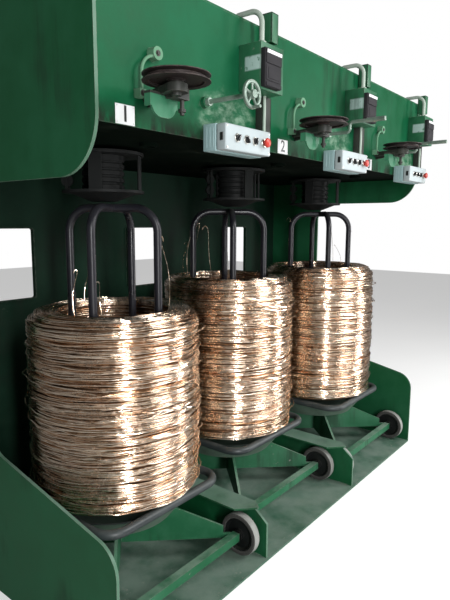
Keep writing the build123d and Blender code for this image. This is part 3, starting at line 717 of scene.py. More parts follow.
class Shape:
    """Collects closed forms in one mesh."""

    def __init__(self) -> None:
        """Starts empty."""
        self.mesh = bmesh.new()

    def take(
        self, vertices: Sequence[Vector], faces: Sequence[Sequence[int]], place: Matrix | None = None
    ) -> None:
        """Adds vertices and faces.

        Args:
            vertices: The vertices.
            faces: Faces as indices of the vertices.
            place: Placing matrix.
        """
        move = place or Matrix.Identity(4)
        made = [self.mesh.verts.new(move @ Vector(vertex)) for vertex in vertices]
        for face in faces:
            self.mesh.faces.new([made[index] for index in face])

    def lathe(self, profile: Profile, place: Matrix | None = None, sides: int = 48) -> None:
        """Turns a profile about Z. A profile that starts and ends off the axis is closed into a ring.

        Args:
            profile: Corners as radius and height.
            place: Placing matrix.
            sides: Faces around the axis.
        """
        vertices: list[Vector] = []
        rows: list[list[int]] = []
        for radius, height in profile:
            first = len(vertices)
            if radius <= 0:
                rows.append([first] * sides)
                vertices.append(Vector((0.0, 0.0, height)))
                continue
            rows.append(list(range(first, first + sides)))
            for side in range(sides):
                angle = FULL_TURN * side / sides
                vertices.append(Vector((radius * math.cos(angle), radius * math.sin(angle), height)))
        faces = []
        for corners in self.belts(rows, profile[0][0] > 0):
            face = [corner for number, corner in enumerate(corners) if corner not in corners[:number]]
            if len(face) > 2:
                faces.append(face)
        self.take(vertices, faces, place)

    @staticmethod
    def belts(rows: list[list[int]], closed: bool) -> list[list[int]]:
        """Gives the four-cornered faces between rows of vertices.

        Args:
            rows: Indices of the vertices, row by row.
            closed: Whether the last row joins the first.

        Returns:
            The faces.
        """
        pairs = list(zip(rows, rows[1:]))
        if closed:
            pairs.append((rows[-1], rows[0]))
        sides = len(rows[0])
        return [
            [low[side], low[(side + 1) % sides], high[(side + 1) % sides], high[side]]
            for low, high in pairs
            for side in range(sides)
        ]

    def slab(
        self,
        low: Sequence[float],
        high: Sequence[float],
        rounding: float = 0.002,
        steps: int = 2,
        place: Matrix | None = None,
    ) -> None:
        """Adds a block with rounded edges.

        Args:
            low: Lowest corner.
            high: Highest corner.
            rounding: Radius of the edges.
            steps: Segments of the rounding.
            place: Placing matrix.
        """
        low, high = Vector(low), Vector(high)
        part = bmesh.new()
        bmesh.ops.create_cube(part, size=1.0)
        bmesh.ops.scale(part, vec=high - low, verts=part.verts)
        bmesh.ops.translate(part, vec=(low + high) / 2, verts=part.verts)
        reach = min(rounding, min(high - low) * 0.45)
        rounded = {"offset": reach, "segments": steps, "profile": 0.5}
        bmesh.ops.bevel(part, geom=list(part.edges), affect="EDGES", **rounded)
        part.verts.index_update()
        self.take([v.co.copy() for v in part.verts], [[v.index for v in f.verts] for f in part.faces], place)
        part.free()

    def tube(self, points: Sequence[Vector], radius: float, sides: int = 12) -> None:
        """Sweeps a circle along points, with closed ends.

        Args:
            points: Points of the middle line.
            radius: Radius of the tube.
            sides: Faces around the tube.
        """
        side_axis = None
        rows: list[list[int]] = []
        vertices: list[Vector] = []
        for number, point in enumerate(points):
            before, after = points[max(number - 1, 0)], points[min(number + 1, len(points) - 1)]
            along = (after - before).normalized()
            if side_axis is None:
                helper = Vector((0, 0, 1)) if abs(along.z) < 0.9 else Vector((1, 0, 0))
                side_axis = along.cross(helper).normalized()
            side_axis = (side_axis - along * side_axis.dot(along)).normalized()
            third = along.cross(side_axis)
            rows.append(list(range(len(vertices), len(vertices) + sides)))
            for side in range(sides):
                angle = FULL_TURN * side / sides
                vertices.append(point + (side_axis * math.cos(angle) + third * math.sin(angle)) * radius)
        self.take(vertices, [*self.belts(rows, False), list(reversed(rows[0])), rows[-1]])

    def data(self, sharp: float) -> bpy.types.Mesh:
        """Gives the finished mesh.

        Args:
            sharp: Angle above which an edge stays sharp, in degrees.

        Returns:
            The mesh.
        """
        bmesh.ops.recalc_face_normals(self.mesh, faces=self.mesh.faces)
        data = bpy.data.meshes.new("shape")
        self.mesh.to_mesh(data)
        self.mesh.free()
        data.shade_smooth()
        data.set_sharp_from_angle(angle=math.radians(sharp))
        return data


class PieceTree(NodeSheet):
    """Geometry Nodes tree with named inputs that makes pieces."""

    NAME: ClassVar[str]
    SETTINGS: ClassVar[dict[str, object]]
    SOCKETS = {int: "NodeSocketInt", float: "NodeSocketFloat", tuple: "NodeSocketVector"}

    def __init__(self, shop: PaintShop) -> None:
        """Makes the tree's inputs, its inside, and its end in Realize Instances and Set Material.

        Args:
            shop: The paint shop.
        """
        super().__init__(bpy.data.node_groups.new(self.NAME, "GeometryNodeTree"))
        self.shop = shop
        sockets = self.tree.interface
        sockets.new_socket("Geometry", in_out="INPUT", socket_type="NodeSocketGeometry")
        for key, value in self.SETTINGS.items():
            socket = sockets.new_socket(key, in_out="INPUT", socket_type=self.SOCKETS[type(value)])
            socket.default_value = value
        sockets.new_socket("Seed", in_out="INPUT", socket_type="NodeSocketInt")
        sockets.new_socket("Material", in_out="INPUT", socket_type="NodeSocketMaterial")
        sockets.new_socket("Geometry", in_out="OUTPUT", socket_type="NodeSocketGeometry")
        self.given = self.add("NodeGroupInput")
        real = self.make("GeometryNodeRealizeInstances", Geometry=self.write())
        painted = self.make("GeometryNodeSetMaterial", Geometry=real, Material=self.ask("Material"))
        self.add("NodeGroupOutput", _0=painted)

    def ask(self, name: str) -> Signal:
        """Gives a named input."""
        return Signal(self, self.given.outputs[name])

    def write(self) -> Signal:
        """Writes the inside of the tree and gives its geometry."""
        raise NotImplementedError

    def chance(self, low: object, high: object, shift: int = 0) -> Signal:
        """Adds a random number between two others, with a number added to the seed."""
        seed = self.ask("Seed") + float(shift) if shift else self.ask("Seed")
        return self.make("FunctionNodeRandomValue", {"data_type": "FLOAT"}, 1, _2=low, _3=high, Seed=seed)

    def lay(
        self,
        name: str,
        finish: Finish,
        body: str,
        base: bpy.types.Mesh | None = None,
        node: str | None = None,
        **values: object,
    ) -> None:
        """Applies the tree and makes a piece of the result.

        Args:
            name: Name of the piece.
            finish: Its finish.
            body: The body that it rides on.
            base: Mesh that the tree starts from.
            node: The CAD node that the piece replaces, if any.
            **values: The tree's inputs.
        """
        carrier = bpy.data.objects.new(f"{name}_carrier", base or bpy.data.meshes.new(f"{name}_base"))
        bpy.context.scene.collection.objects.link(carrier)
        modifier = carrier.modifiers.new("nodes", "NODES")
        modifier.node_group = self.tree
        items = self.tree.interface.items_tree
        names = {item.name: item.identifier for item in items if item.in_out == "INPUT"}
        for key, value in {"Material": self.shop.get(finish), "Seed": SEED, **values}.items():
            modifier[names[key]] = value
        bpy.context.view_layer.update()
        data = bpy.data.meshes.new_from_object(carrier.evaluated_get(bpy.context.evaluated_depsgraph_get()))
        carrier.modifiers.remove(modifier)
        bpy.data.objects.remove(carrier)
        self.shop.show(data, name, finish, body, node)


class WindingTree(PieceTree):
    """Lays uneven turns of wire about an upright axis."""

    NAME = "winding"
    SETTINGS = {
        "Turns": 100, "Bottom": 0.4, "Top": 1.2, "Radius": 0.36, "Spread": 0.01, "Shoulder": 0.04,
        "Bulge": 0.0, "Drift": 0.005, "Tilt": 0.01, "Wobble": 0.004, "Wire": 0.005, "Segments": 44,
        "Sides": 5, "Centre": (0.0, 0.0, 0.0),
    }

    def write(self) -> Signal:
        """Sets a circle on points up the axis, leans, moves and bends it, and sweeps the wire along it.

        Returns:
            The geometry.
        """
        ends = {"Start_Location": self.join(z=self.ask("Bottom")), "Offset": self.join(z=self.ask("Top"))}
        line = self.make("GeometryNodeMeshLine", {"mode": "END_POINTS"}, Count=self.ask("Turns"), **ends)
        radius = self.turn_radius(self.split(self.make("GeometryNodeInputPosition"))[2])
        lean, drift = self.split(self.reach("Tilt", 3)), self.split(self.reach("Drift", 7))
        laid = self.make(
            "GeometryNodeInstanceOnPoints",
            Points=line,
            Instance=self.circle("Segments", 1.0),
            Rotation=self.join(lean[0], lean[1], self.chance(None, FULL_TURN, 4)),
            Scale=self.join(radius, radius, radius),
        )
        aside = {"Translation": self.join(drift[0], drift[1]), "Local_Space": False}
        moved = self.make("GeometryNodeTranslateInstances", Instances=laid, **aside)
        loose = self.make("GeometryNodeRealizeInstances", Geometry=moved)
        waved = self.make("GeometryNodeSetPosition", Geometry=loose, Offset=self.waves())
        section = self.circle("Sides", self.ask("Wire") * 0.5)
        swept = self.make("GeometryNodeCurveToMesh", Curve=waved, Profile_Curve=section)
        smooth = self.make("GeometryNodeSetShadeSmooth", Geometry=swept)
        return self.make("GeometryNodeTransform", Geometry=smooth, Translation=self.ask("Centre"))

    def circle(self, corners: str, radius: object) -> Signal:
        """Adds a circle with as many corners as a named input says."""
        kind = "GeometryNodeCurvePrimitiveCircle"
        return self.make(kind, {"mode": "RADIUS"}, Resolution=self.ask(corners), Radius=radius)

    def reach(self, name: str, shift: int) -> Signal:
        """Adds a random vector between minus and plus a named input, with a number added to the seed."""
        ends = {"_0": self.ask(name) * -1.0, "_1": self.ask(name), "Seed": self.ask("Seed") + float(shift)}
        return self.make("FunctionNodeRandomValue", {"data_type": "FLOAT_VECTOR"}, **ends)

    def turn_radius(self, height: Signal) -> Signal:
        """Works out each turn's radius: rounded at both ends, fuller low down, and uneven.

        Args:
            height: Height of the turn.

        Returns:
            The radius.
        """
        top, bottom, shoulder = self.ask("Top"), self.ask("Bottom"), self.ask("Shoulder")
        above = height - bottom
        nearest = self.calculate("MINIMUM", top - height, above * 2.0)
        share = (1.0 - nearest / shoulder).clamp()
        cut = (1.0 - self.calculate("SQRT", 1.0 - share * share)) * shoulder
        rise = above / (top - bottom + 0.0001)
        belly = self.calculate("SINE", (1.15 - rise) * 2.6) * self.ask("Bulge")
        return self.ask("Radius") + belly - cut + self.chance(self.ask("Spread") * -1.0, 0.0)

    def waves(self) -> Signal:
        """Makes the bends of each turn, up and down and in and out.

        Returns:
            The offset.
        """
        drawn = self.vector("MULTIPLY", self.make("GeometryNodeInputPosition"), (7.0, 7.0, 160.0))
        noise = self.make("ShaderNodeTexNoise", None, "Color", Vector=drawn, Scale=1.0, Detail=1.5)
        middle = self.vector("SUBTRACT", noise, (0.5, 0.5, 0.5))
        reach = self.ask("Wobble") * 4.0
        return self.make("ShaderNodeVectorMath", {"operation": "SCALE"}, _0=middle, Scale=reach)


class FixingTree(PieceTree):
    """Sets a screw head with its washer on every point of a mesh."""

    NAME = "fixings"
    SETTINGS = {
        "Facing": (0.0, -1.0, 0.0), "Radius": 0.006, "Height": 0.004, "Sides": 6, "Washer": 1.35,
        "Sink": 0.0006,
    }

    def write(self) -> Signal:
        """Joins the head and the washer, turns them to their facing and sets them on the points.

        Returns:
            The geometry.
        """
        radius, height = self.ask("Radius"), self.ask("Height")
        both = self.add("GeometryNodeJoinGeometry", _0=self.cone(self.ask("Sides"), radius, 0.9, height))
        self.feed(both.inputs[0], self.cone(18, radius * self.ask("Washer"), 0.96, height * 0.35))
        sunk = self.join(z=self.ask("Sink") * -1.0)
        whole = self.make("GeometryNodeTransform", Geometry=Signal(self, both.outputs[0]), Translation=sunk)
        facing = self.make("FunctionNodeAlignRotationToVector", {"axis": "Z"}, Vector=self.ask("Facing"))
        spin = self.chance(None, FULL_TURN)
        about = self.make("FunctionNodeAxisAngleToRotation", Axis=(0.0, 0.0, 1.0), Angle=spin)
        turns = {"Rotation": facing, "_1": about}
        turned = self.make("FunctionNodeRotateRotation", {"rotation_space": "LOCAL"}, **turns)
        points = {"Points": self.ask("Geometry"), "Instance": whole, "Rotation": turned}
        return self.make("GeometryNodeInstanceOnPoints", **points)

    def cone(self, sides: object, radius: Signal, taper: float, height: Signal) -> Signal:
        """Adds a closed frustum, whose top is narrower by a share."""
        sizes = {"Vertices": sides, "Radius_Bottom": radius, "Radius_Top": radius * taper, "Depth": height}
        return self.make("GeometryNodeMeshCone", {"fill_type": "NGON"}, "Mesh", **sizes)

    def fix(self, name: str, spots: Sequence[Vector], finish: Finish, body: str, **values: object) -> None:
        """Sets screws on points of a surface and makes a piece of them.

        Args:
            name: Name of the piece.
            spots: Places of the screws.
            finish: The screws' finish.
            body: The body that they ride on.
            **values: The tree's inputs.
        """
        base = bpy.data.meshes.new(f"{name}_spots")
        base.from_pydata([tuple(spot) for spot in spots], [], [])
        self.lay(name, finish, body, base, **values)


class SeamTree(PieceTree):
    """Lays the ripples of a weld along the edges of a mesh."""

    NAME = "seams"
    SETTINGS = {"Spacing": 0.0055, "Radius": 0.0042, "Uneven": 0.16}

    def write(self) -> Signal:
        """Sets a ripple of uneven size at each step along the edges.

        Returns:
            The geometry.
        """
        line = self.make("GeometryNodeMeshToCurve", Mesh=self.ask("Geometry"))
        steps = {"Curve": line, "Length": self.ask("Spacing")}
        spots = self.add("GeometryNodeCurveToPoints", {"mode": "LENGTH"}, **steps)
        uneven = self.ask("Uneven")
        size = self.chance(1.0 - uneven, uneven + 1.0)
        return self.make(
            "GeometryNodeInstanceOnPoints",
            Points=Signal(self, spots.outputs["Points"]),
            Instance=self.make("GeometryNodeMeshIcoSphere", Subdivisions=1, Radius=self.ask("Radius")),
            Rotation=Signal(self, spots.outputs["Rotation"]),
            Scale=self.join(size, size, size * 0.8),
        )

    def weld(
        self, name: str, lines: Sequence[Sequence[Vector]], finish: Finish, body: str, bead: float
    ) -> None:
        """Lays welds along lines and makes a piece of them.

        Args:
            name: Name of the piece.
            lines: Points of each weld.
            finish: The welds' finish.
            body: The body that they ride on.
            bead: Radius of a ripple.
        """
        points: list[tuple[float, ...]] = []
        edges: list[tuple[int, int]] = []
        for line in lines:
            first = len(points)
            points.extend(tuple(point) for point in line)
            edges.extend((first + number, first + number + 1) for number in range(len(line) - 1))
        base = bpy.data.meshes.new(f"{name}_lines")
        base.from_pydata(points, edges, [])
        self.lay(name, finish, body, base, Radius=bead)


@dataclass
class Assembly:
    """Something that each station has: its shapes, collected by piece name and shown together."""

    station: int
    row: Row
    shop: PaintShop
    NODE: ClassVar[str] = ""
    BODY: ClassVar[str] = "frame"

    def __post_init__(self) -> None:
        """Finds the body, and the node that gives the sizes, with its box."""
        self.shapes: dict[str, tuple[Shape, Finish]] = {}
        self.start = self.row.start(self.station)
        self.body = self.BODY.format(self.station)
        self.node = self.NODE.format(self.station) or None
        self.extent = Extent.of(self.node) if self.node else None

    def name(self, piece: str) -> str:
        """Gives a piece's name with the station's number."""
        return f"{piece}_{self.station}"

    def part(self, piece: str, finish: Finish) -> Shape:
        """Gives the shape of a piece, started at its first use.

        Args:
            piece: Name of the piece, without the station's number.
            finish: The piece's finish.

        Returns:
            The shape.
        """
        if self.name(piece) not in self.shapes:
            self.shapes[self.name(piece)] = (Shape(), finish)
        return self.shapes[self.name(piece)][0]

    def show(self, sharp: float = 35.0) -> None:
        """Makes the pieces, with edges that stay sharp above an angle in degrees."""
        for name, (shape, finish) in self.shapes.items():
            self.shop.show(shape.data(sharp), name, finish, self.body, self.node)


@dataclass
class NumberPlate(Assembly):
    """White plate with the station's number, on the fascia."""

    width: float = 0.078
    height: float = 0.060
    thickness: float = 0.002
    letter: float = 0.0675
    letter_depth: float = 0.0004
    letter_weight: float = 0.0012
    letter_out: float = 0.0003
    from_left: float = 0.074
    from_foot: float = 0.0015
    rivet_margin: float = 0.006

    def corner(self) -> Vector:
        """Lowest front corner of the plate."""
        left = self.start + self.from_left
        return Vector((left, self.row.face - self.thickness, self.row.foot + self.from_foot))

    def build(self) -> None:
        """Builds the plate and its number."""
        low = self.corner()
        plate = self.part("number_plate", Finish.PLATE_WHITE)
        plate.slab(low, low + Vector((self.width, self.thickness, self.height)), 0.0006, 1)
        self.show()
        curve = bpy.data.curves.new(f"number_{self.station}_text", "FONT")
        curve.body = str(self.station)
        curve.size = self.letter
        curve.align_x = curve.align_y = "CENTER"
        curve.extrude = self.letter_depth
        curve.offset = self.letter_weight
        holder = bpy.data.objects.new(curve.name, curve)
        bpy.context.scene.collection.objects.link(holder)
        data = bpy.data.meshes.new_from_object(holder.evaluated_get(bpy.context.evaluated_depsgraph_get()))
        bpy.data.objects.remove(holder)
        middle = low + Vector((self.width / 2, -self.letter_out, self.height / 2))
        data.transform(Matrix.Translation(middle) @ Matrix.Rotation(math.radians(90), 4, "X"))
        self.shop.show(data, self.name("station_number"), Finish.KNOB_BLACK, self.body)

    def rivet(self, fixings: FixingTree) -> None:
        """Sets the rivets in the plate's corners.

        Args:
            fixings: The tree that sets screws.
        """
        rivets = [
            self.corner() + Vector((across, 0.0, up))
            for across in (self.rivet_margin, self.width - self.rivet_margin)
            for up in (self.rivet_margin, self.height - self.rivet_margin)
        ]
        sizes = {"Radius": 0.0019, "Height": 0.0012, "Sides": 12, "Washer": 1.0, "Sink": 0.0002}
        fixings.fix(self.name("plate_rivets"), rivets, Finish.ZINC, self.body, **sizes)


@dataclass
class GuideBolts(Assembly):
    """Screws of one station's wire guide, one on its lug and one on its foot."""

    lug: Point = (0.230, -0.031, 2.095)
    foot: Point = (0.165, -0.0285, 1.963)
    radius: float = 0.0075
    height: float = 0.005

    def build(self, fixings: FixingTree) -> None:
        """Sets the screws, whose places are offsets from the station's start and the fascia's face.

        Args:
            fixings: The tree that sets screws.
        """
        spots = [Vector((self.start + x, self.row.face + y, z)) for x, y, z in (self.lug, self.foot)]
        sizes = {"Radius": self.radius, "Height": self.height}
        fixings.fix(self.name("guide_bolts"), spots, Finish.DARK_PARTS, self.body, **sizes)


@dataclass
class FloorSeams:
    """Stitched welds that hold the dividers to the floor plate."""

    row: Row
    wall: float = 0.012
    stitch: float = 0.070
    gap: float = 0.090
    margin: float = 0.030
    bead: float = 0.0042

    def build(self, seams: SeamTree) -> None:
        """Builds the welds of each divider.

        Args:
            seams: The tree that lays welds.
        """
        floor = Extent.of("floor_plate").high.z
        for number in range(1, len(STATIONS)):
            extent = Extent.of(f"divider_{number}")
            lines = []
            for side in (-1, 1):
                x = self.row.start(number + 1) + side * self.wall / 2
                y = extent.low.y + self.margin
                while y + self.stitch < extent.high.y:
                    lines.append([Vector((x, y, floor)), Vector((x, y + self.stitch, floor))])
                    y += self.stitch + self.gap
            seams.weld(f"divider_welds_{number}", lines, Finish.PLATE_GREEN, "frame", self.bead)


@dataclass
class CarriageSeams(Assembly):
    """Welds of one carriage: stem legs on their foot ring, and the crossed plates at their middle."""

    NODE = "stem_{}"
    BODY = "carriage_{}"
    foot_width: float = 0.044
    foot_sheet: float = 0.008
    tube: float = 0.017
    plate: float = 0.012
    beam: float = 0.038
    plate_height: float = 0.180
    margin: float = 0.010
    ring_steps: int = 20
    bead: float = 0.0036

    def build(self, seams: SeamTree) -> None:
        """Builds the carriage's welds.

        Args:
            seams: The tree that lays welds.
        """
        middle, foot = self.extent.middle, self.extent.low.z + self.foot_sheet
        legs = self.extent.size.x / 2 - self.foot_width / 2
        turns = [FULL_TURN * step / self.ring_steps for step in range(self.ring_steps + 1)]
        rings = []
        for quarter in range(4):
            angle = math.radians(STEM_TURNS[self.station] + 90 * quarter)
            x, y = middle.x + legs * math.cos(angle), middle.y + legs * math.sin(angle)
            rings.append(
                [Vector((x + self.tube * math.cos(a), y + self.tube * math.sin(a), foot)) for a in turns]
            )
        seams.weld(self.name("leg_welds"), rings, Finish.BLACK_PAINT, self.body, self.bead)
        arms = Extent.of(self.name("carriage_frame"))
        corner = math.atan2((arms.size.y - self.beam) / 2, arms.size.x / 2)
        half = self.plate / 2
        low, high = arms.high.z - self.plate_height + self.margin, arms.high.z - self.margin
        posts = []
        for x, y in ((half / math.sin(corner), 0.0), (0.0, half / math.cos(corner))):
            for side in (-1, 1):
                posts.append([Vector((middle.x + side * x, middle.y + side * y, z)) for z in (low, high)])
        seams.weld(self.name("cross_welds"), posts, Finish.FRAME_GREEN, self.body, self.bead)


@dataclass
class WireCoil(Assembly):
    """The wound wire of one station: outer turns, inner turns, top, core and stray loops."""

    NODE = "wire_coil_{}"
    BODY = "carriage_{}"
    wire: float = 0.0052
    bore: float = 0.230
    shoulder: float = 0.055
    core_depth: float = 0.018
    core_rows: int = 60
    stray_seed: int = 3
    stray_count: int = 16
    stray_steps: int = 26
    strand_seed: int = 12
    strand_count: int = 5
    strand_steps: int = 24
    strand_rise: float = 0.36

    def __post_init__(self) -> None:
        """Finds the coil's outer radius."""
        super().__post_init__()
        self.radius = self.extent.size.x / 2

    def build(self, winding: WindingTree) -> None:
        """Builds the coil and hides its CAD node.

        Args:
            winding: The tree that lays turns.
        """
        low, high, middle = self.extent.low, self.extent.high, self.extent.middle
        wire, shoulder = self.wire, self.shoulder
        full = self.radius - shoulder * 0.6
        layers = {
            "outer_turns": {
                "Turns": 370, "Bottom": low.z + wire, "Top": high.z - wire, "Radius": self.radius - wire / 2,
                "Spread": 0.017, "Shoulder": shoulder, "Bulge": 0.006, "Drift": 0.0055, "Tilt": 0.018,
                "Wobble": 0.0056, "Segments": 43, "Sides": 5,
            },
            "inner_turns": {
                "Turns": 90, "Bottom": low.z + wire, "Top": high.z - 2 * wire, "Radius": self.bore + 0.016,
                "Spread": 0.010, "Shoulder": 0.001, "Bulge": 0.0, "Drift": 0.003, "Tilt": 0.02,
                "Wobble": 0.003, "Segments": 36, "Sides": 4,
            },
            "top_turns": {
                "Turns": 90, "Bottom": high.z - 0.020, "Top": high.z - 0.004, "Radius": full,
                "Spread": full - self.bore - 0.008, "Shoulder": 0.001, "Bulge": 0.0, "Drift": 0.006,
                "Tilt": 0.016, "Wobble": 0.004, "Segments": 44, "Sides": 5,
            },
            "loose_turns": {
                "Turns": 14, "Bottom": low.z + 0.05, "Top": high.z - 0.06, "Radius": self.radius + 0.006,
                "Spread": 0.012, "Shoulder": 0.001, "Bulge": 0.004, "Drift": 0.014, "Tilt": 0.045,
                "Wobble": 0.012, "Segments": 56, "Sides": 6,
            },
        }
        shared = {"Centre": (middle.x, middle.y, 0.0), "Wire": wire, "Seed": SEED * self.station}
        for name, values in layers.items():
            winding.lay(self.name(name), Finish.WIRE, self.body, None, self.node, **shared, **values)
        self.core()
        self.strays()
        self.strands()
        self.show()

    def around(self, reach: float, angle: float, height: float) -> Vector:
        """Gives a point by its distance from the coil's axis, its angle and its height."""
        middle = self.extent.middle
        return Vector((middle.x + reach * math.cos(angle), middle.y + reach * math.sin(angle), height))

    def core(self) -> None:
        """Makes the dark mass behind the turns."""
        low, high = self.extent.low.z + 0.004, self.extent.high.z - 0.020
        inside, outside = self.bore + self.core_depth, self.radius - self.core_depth
        edge = self.shoulder * 0.8
        profile = [(inside, low), (outside - 0.01, low)]
        for row in range(1, self.core_rows):
            height = low + (high - edge - low) * row / self.core_rows
            profile.append((outside - (0.003 if row % 2 else 0.0), height))
        profile += [(outside - edge * 0.3, high - edge * 0.3), (outside - edge, high), (inside, high)]
        place = Matrix.Translation((self.extent.middle.x, self.extent.middle.y, 0.0))
        self.part("coil_core", Finish.WIRE_CORE).lathe(profile, place, 64)

    def strays(self) -> None:
        """Makes the loops that have sprung out of the coil at its sides."""
        chance = random.Random(self.stray_seed * self.station)
        for number in range(self.stray_count):
            start = chance.uniform(0, FULL_TURN)
            sweep = chance.uniform(0.7, 1.9)
            out = chance.uniform(0.008, 0.042)
            base = chance.uniform(self.extent.low.z + 0.06, self.extent.high.z - 0.08)
            drop = chance.uniform(-0.05, 0.03)
            points = []
            for step in range(self.stray_steps + 1):
                share = step / self.stray_steps
                swell = math.sin(math.pi * share)
                height = base + drop * swell + 0.006 * math.sin(9 * share + number)
                points.append(self.around(self.radius - 0.006 + out * swell, start + sweep * share, height))
            self.part("stray_loops", Finish.WIRE).tube(points, self.wire / 2, 6)

    def strands(self) -> None:
        """Makes the thin loose ends that stand up out of the coil's top, beside the stem."""
        chance = random.Random(self.strand_seed + self.station)
        for _ in range(self.strand_count):
            angle = chance.uniform(0, FULL_TURN)
            rise = chance.uniform(0.14, self.strand_rise)
            lean = chance.uniform(-0.35, 0.35)
            reach = chance.uniform(self.bore - 0.004, self.bore + 0.03)
            inward = chance.uniform(0.0, 0.05)
            points = []
            for step in range(self.strand_steps + 1):
                share = step / self.strand_steps
                out = reach + 0.012 * math.sin(2.4 * math.pi * share) - inward * share
                height = self.extent.high.z - 0.012 + rise * math.sin(0.62 * math.pi * share)
                points.append(self.around(out, angle + lean * share, height))
            self.part("loose_strands", Finish.WIRE).tube(points, self.wire * 0.22, 6)


@dataclass
class WheelPair(Assembly):
    """One pair of wheels of a carriage: tyres, dished discs, hubs, caps and axle."""

    end: str = "front"
    width: float = 0.040
    outside: float = 0.032
    tread: float = 0.022
    crown: float = 0.006
    hub: float = 0.026
    dish: float = 0.040
    bore: float = 0.0135
    hub_out: float = 0.005
    axle_radius: float = 0.0125
    axle_tip: float = 0.010

    def __post_init__(self) -> None:
        """Finds the pair's node, which is its body as well."""
        self.NODE = self.BODY = self.end + "_wheels_{}"
        super().__post_init__()
        self.radius = self.extent.size.z / 2

    def build(self) -> None:
        """Builds the pair and hides its CAD node."""
        middle, half = self.extent.middle, self.extent.size.x / 2
        for side in (-1, 1):
            across = middle + Vector((side * (half - self.outside), 0, 0))
            place = Matrix.Translation(across) @ Matrix.Rotation(math.radians(90 * side), 4, "Y")
            self.part(f"{self.end}_tyres", Finish.TYRE).lathe(self.tyre(), place, 56)
            for profile in (self.disc(), self.cap()):
                self.part(f"{self.end}_discs", Finish.SOOTY_BLACK).lathe(profile, place, 40)
        shaft = Matrix.Translation(middle) @ Matrix.Rotation(math.radians(90), 4, "Y")
        tip = [(0, half - 0.001), (self.axle_tip, half - 0.001), (self.axle_radius, half - 0.004)]
        profile = [(radius, -length) for radius, length in tip] + tip[::-1]
        self.part(f"{self.end}_axle", Finish.ZINC).lathe(profile, shaft, 24)
        self.show(28.0)

    def tyre(self) -> Profile:
        """Gives the tyre's section as a closed ring of radius and width.

        Returns:
            The section.
        """
        half, inner, crown, radius = self.width / 2, self.radius - self.tread, self.crown, self.radius
        side = [
            (inner, half * 0.86), (inner + 0.004, half), (radius - crown, half),
            (radius - crown * 0.3, half - crown * 0.4), (radius - 0.0002, half - crown),
        ]
        return [(r, -w) for r, w in side] + [(radius, 0.0)] + side[::-1]

    def disc(self) -> Profile:
        """Gives the section of the dished disc with its hub.

        Returns:
            The section.
        """
        half, inner = self.width / 2, self.radius - self.tread
        side = [
            (self.hub, half + self.hub_out), (self.hub, half * 0.45), (self.dish, half * 0.25),
            (inner - 0.012, half * 0.35), (inner - 0.005, half * 0.82), (inner + 0.001, half * 0.86),
        ]
        ends = [(self.bore, half + self.hub_out), (self.bore, -half - self.hub_out)]
        return [(r, -w) for r, w in side] + side[::-1] + ends

    def cap(self) -> Profile:
        """Gives the section of the cap on the hub.

        Returns:
            The section.
        """
        start = self.width / 2 + self.hub_out
        outside = [(0.021, start + 0.0002), (0.021, start + 0.005), (0.019, start + 0.0065)]
        return [(self.bore, start + 0.0002), *outside, (self.bore, start + 0.0065)]


